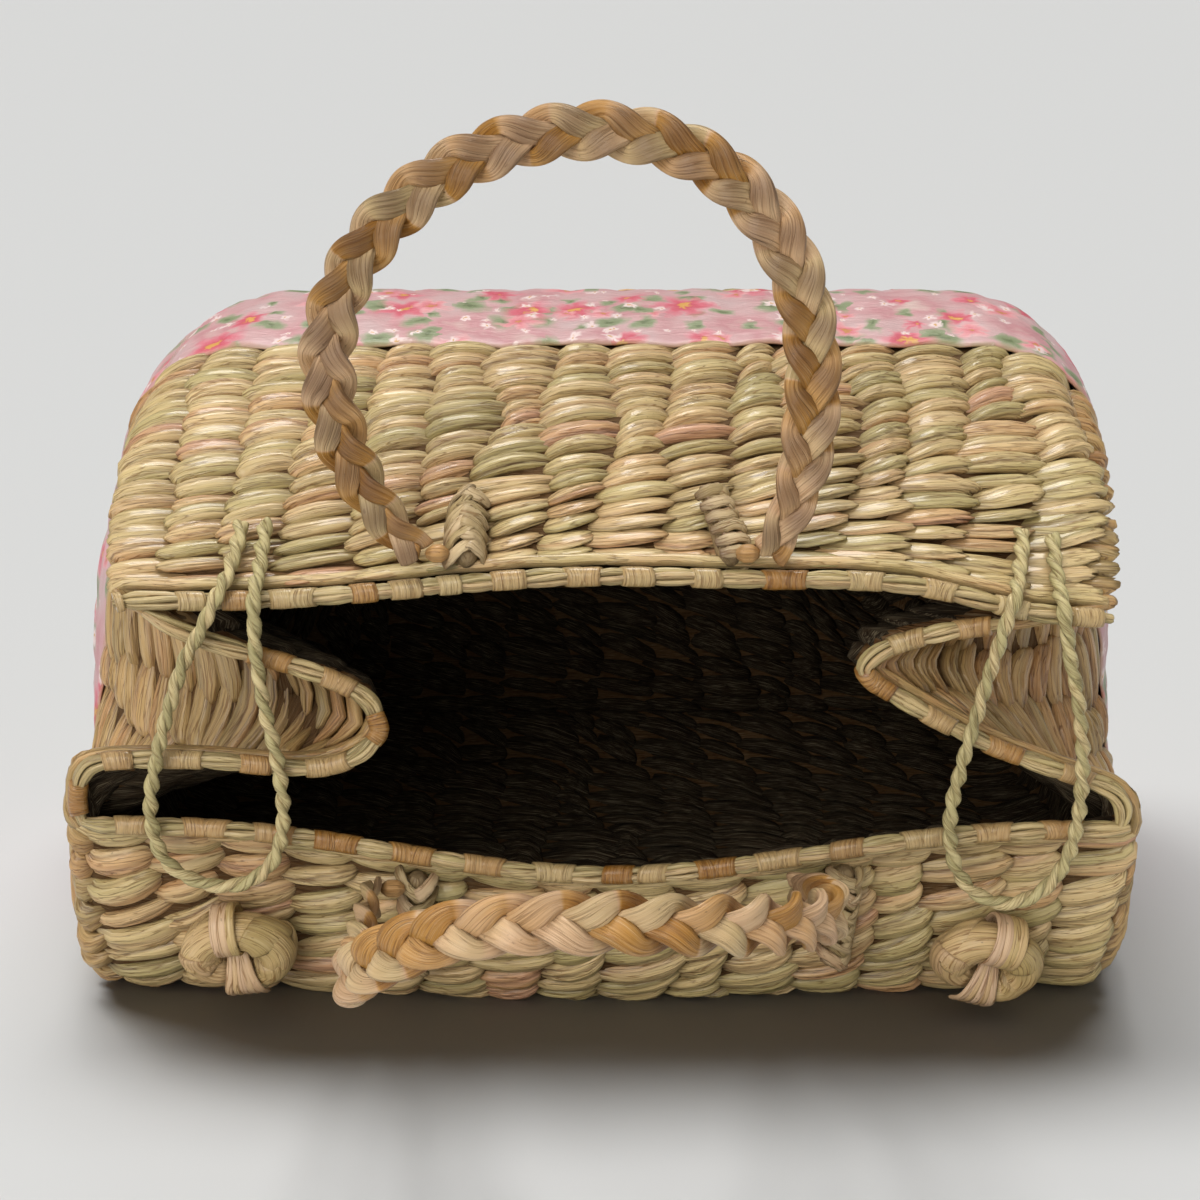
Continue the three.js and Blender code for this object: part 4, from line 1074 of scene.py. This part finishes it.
for name, wall, x, start, drift in LASHINGS:
    def at(share, sideways, height):
        run = start + share * LASH_LENGTH
        here, outward, across, _ = wall_frame(column_at(wall, x + drift * share, run), run)
        return here + across * sideways + outward * height

    build = Build()
    ridge = np.array([at(s, 0, 3.6) for s in np.linspace(0.04, 0.94, 16)])
    # The ridge under the hitches gets painted shade.
    tube(build, ridge, 5.0 * profile(16, [0, 0.1, 0.8, 1], [0.75, 1, 0.9, 0.6]), 4.4, tone=0.35, painted_shade_and_wear=0.5)
    for k in range(HITCHES):
        s = (k + 0.4) / HITCHES * 0.95
        tall = (11.2 - 3.4 * abs(k / (HITCHES - 1) - 0.2)) * (1 + 0.05 * rng.normal())
        jog = np.append(0.012 * rng.normal(size=8), 0)
        for m, (broad, points) in enumerate(HITCH_STRIPS):
            route = catmull([at(s + share + jog[j], sideways, low + tall * high)
                             for share, j, sideways, low, high in points], 6)
            swell = profile(len(route), [0, 0.2, 0.6, 1], [0.7, 1, 0.95, 0.55])
            # Painted shade at the strips' tucked ends.
            tube(build, route, broad * swell, 0.95, reference=unit(route - at(s, 0, 1.0)),
                 tone=np.clip(0.45 + 0.25 * rng.normal(), 0, 1), painted_shade_and_wear=[0.8, 0.15, 0, 0.05, 0.5],
                 roll=0.25 * rng.normal(), shape=ribbon_shape(7 * k + m))
    build.make(name + "_hitches", [lash_skin], "basket", [name + "_lashing"])

    low, high = box_of(name + "_stub")
    reach, across, deep = (high - low) / 2
    build = Build()
    line = (low + high) / 2 + np.linspace(-reach * 0.9, reach * 0.9, 6)[:, None] * np.array([1.0, 0, 0])
    full = np.array([0.8, 0.98, 1.0, 1.0, 0.98, 0.8])
    tube(build, line, across * full, deep * full, sides=20, tone=0.62, painted_shade_and_wear=[0.25, 0, 0, 0, 0, 0.25],
         shape=lambda s, a: 1 - 0.1 * notch(np.sin(a / 2 - 0.9 + s), 0.09))
    build.make(name + "_core", [plait_skin], "basket", [name + "_stub"])

# Toggles: a fat roll of grass bent round, tied through its middle
ROLL_RADIUS = 8.2
RING_WIDTH, RING_HEIGHT = 13.9, 12.2
STRAP_DEEP, STRAP_HIGH = 9.6, 9.3
# x, tilt in degrees, how much heavier the right half is, places of the strap's strips
TOGGLES = {
    "left_toggle": (-136, 8, 1.0, (-4.4, -1.6, 1.4)),
    "right_toggle": (147, -18, 1.06, (-3.6, -0.6, 2.4, 5.2)),
}
# Leaves folded over the roll: middle and half of the arc in degrees, slant
SLEEVES = [(38, 24, 0.5), (-18, 26, -0.6), (146, 20, 0.6), (192, 25, -0.5)]
QUARTER = math.radians(90)


def folded_roll(s, a):
    r = 1 + 0 * s + 0 * a
    for fold in (0.3, 1.9, 3.1, 4.4):
        gap = turned_back(a - fold - 1.6 * (s - 0.5))
        r = r - 0.1 * notch(gap, 0.12) + 0.05 * notch(gap - 0.25, 0.2)
    return r


for name, (x, tilt, heavy, strips) in TOGGLES.items():
    middle = sum(box_of(name + "_roll")) / 2
    run = float(np.interp(0.12, SHARES, RUN))
    _, outward, _, away = wall_frame(column_at("front_wall", x, run), run)
    across, away = np.array([1.0, 0, 0]), unit(away * [0, 1, 1])
    outward = np.cross(across, away) * np.sign(np.dot(np.cross(across, away), outward))
    spin = math.radians(-tilt)
    u = across * math.cos(spin) + away * math.sin(spin)
    v = away * math.cos(spin) - across * math.sin(spin)

    def round_the_ring(angle):
        curl = np.interp(np.abs(angle - QUARTER), np.radians([0, 110, 165]), [1, 1, 0.74])
        return (middle + u[None] * (RING_WIDTH * curl * np.cos(angle))[:, None]
                + v[None] * (-RING_HEIGHT * curl * np.sin(angle))[:, None]
                + outward[None] * (1.5 * np.cos(angle - QUARTER) - 0.5)[:, None])

    build = Build()
    angle = np.radians(np.linspace(-72, 252, 90))
    fat = ROLL_RADIUS * np.interp(angle, np.radians([-72, -45, 0, 60, 90, 120, 180, 225, 252]),
                                  [0.66, 0.94, 1.06 / heavy, 0.98, 0.9, 0.98, 1.06 * heavy, 0.94, 0.66])
    tube(build, round_the_ring(angle), fat * 0.9, fat * 0.97, sides=28, reference=outward,
         tone=profile(30, [0, 0.3, 0.6, 1], [0.75, 0.4, 0.55, 0.7]), painted_shade_and_wear=0.02, shape=folded_roll)
    for k, (centre_angle, half_span, lean) in enumerate(SLEEVES):
        marks = np.radians(np.linspace(centre_angle - half_span, centre_angle + half_span, 13))
        sleeve = round_the_ring(marks)
        thick = np.interp(marks, angle, fat) * profile(13, [0, 0.04, 0.9, 1], [1.0, 1.055, 1.045, 1.0])
        # Painted shade at both ends of each sleeve, where it folds round the roll.
        tube(build, sleeve, thick * 0.9, thick * 0.98, sides=28, reference=outward, tone=0.25 + 0.16 * k,
             painted_shade_and_wear=[0.25, 0, 0, 0, 0.3], round_ends=False,
             shape=lambda s, a: 1 + 0.012 * np.cos(3 * a + s * 3) - 0.02 * notch(np.sin(a - s), 0.1))
        slant(build, sleeve.mean(axis=0), outward, unit(sleeve[-1] - sleeve[0]), lean)
    build.make(name + "_leaf_roll", [roll_skin], "basket", [name + "_roll"])

    build = Build()
    top = middle - v * RING_HEIGHT
    turn = np.linspace(-0.6, 2 * np.pi - 0.9, 40)
    for k, offset in enumerate(strips):
        strap = (top[None] + v[None] * (STRAP_DEEP * np.cos(turn))[:, None]
                 + outward[None] * (STRAP_HIGH * np.sin(turn))[:, None] + u[None] * offset)
        tube(build, strap, 0.8, 1.9, sides=16, reference=u, tone=(0.98, 0.9, 0.4, 0.6)[k], painted_shade_and_wear=0.05,
             shape=ribbon_shape(40 + k))
    # The pleated end of the tie: down from the middle, outward and spread, mm
    for k, tone in enumerate((0.9, 0.75, 1.0, 0.8, 0.9)):
        fan = [middle + v * down + outward * out + u * (k - 2) * wide
               for down, out, wide in ((-2, 1.5, 1.0), (6, 6.2, 1.9), (13, 7.0, 2.8), (19.5, 2, 3.2))]
        tube(build, catmull(fan, 6), 1.9, 0.9, sides=8, reference=outward, tone=tone, painted_shade_and_wear=0.08)
    build.make(name + "_tie_strips", [roll_skin], "basket", [name + "_tie"])

# Floor and light
floor_mesh = bpy.data.meshes.new("floor")
SPAN = 14.0
floor_mesh.from_pydata([(-SPAN, -SPAN, 0), (SPAN, -SPAN, 0), (SPAN, SPAN, 0), (-SPAN, SPAN, 0)], [],
                       [(0, 1, 2, 3)])
floor = bpy.data.objects.new("floor", floor_mesh)
bpy.context.collection.objects.link(floor)
paper = Nodes("pale_floor")
paper.shader.inputs["Base Color"].default_value = srgb("d9d8d5")
paper.shader.inputs["Roughness"].default_value = 0.7
paper.shader.inputs["Specular IOR Level"].default_value = 0.2
floor_mesh.materials.append(paper.material)

world = bpy.data.worlds.new("studio")
world.use_nodes = True
nodes, links = world.node_tree.nodes, world.node_tree.links
direction = nodes.new("ShaderNodeTexCoord")
height_of = nodes.new("ShaderNodeSeparateXYZ")
sky = nodes.new("ShaderNodeMapRange")
links.new(direction.outputs["Generated"], height_of.inputs[0])
links.new(height_of.outputs["Z"], sky.inputs["Value"])
for socket, value in (("From Min", 0.05), ("From Max", 0.16), ("To Min", 0.66), ("To Max", 0.045)):
    sky.inputs[socket].default_value = value
links.new(sky.outputs["Result"], nodes["Background"].inputs[1])
nodes["Background"].inputs[0].default_value = (0.97, 0.985, 1.0, 1)
bpy.context.scene.world = world


def soft_sun(name, towards, strength, spread, color, only, bounces=64):
    """A broad lamp, spread in degrees, that lights one collection."""
    data = bpy.data.lights.new(name, "SUN")
    data.cycles.max_bounces = bounces
    data.energy, data.angle, data.color = strength, math.radians(spread), color
    lamp = bpy.data.objects.new(name, data)
    lamp.rotation_mode = "QUATERNION"
    lamp.rotation_quaternion = Vector(towards).to_track_quat("Z", "Y")
    bpy.context.collection.objects.link(lamp)
    lamp.light_linking.receiver_collection = only


floor_only = bpy.data.collections.new("floor_only")
floor_only.objects.link(floor)
soft_sun("top_softbox", (-0.02, 0.36, 1.0), 1.62, 22, (1.0, 0.985, 0.955), basket_pieces)
for side, lean, power in (("left", -0.5, 1.2), ("middle", -0.18, 1.2), ("right", 0.14, 1.0)):
    soft_sun(side + "_softbox", (lean, 0.25, 1.0), power, 24, (0.975, 0.985, 1.0), floor_only)
soft_sun("room", (-0.1, -0.1, 1.0), 1.2, 140, (1.0, 0.985, 0.96), basket_pieces, 0)
soft_sun("front_fill", (-0.4, -0.9, 0.8), 1.15, 40, (1.0, 0.97, 0.93), basket_pieces, 0)
soft_sun("low_fill", (-0.6, -1.0, -0.12), 1.45, 50, (1.0, 0.94, 0.88), basket_pieces, 0)
bpy.context.scene.view_settings.view_transform = "Standard"
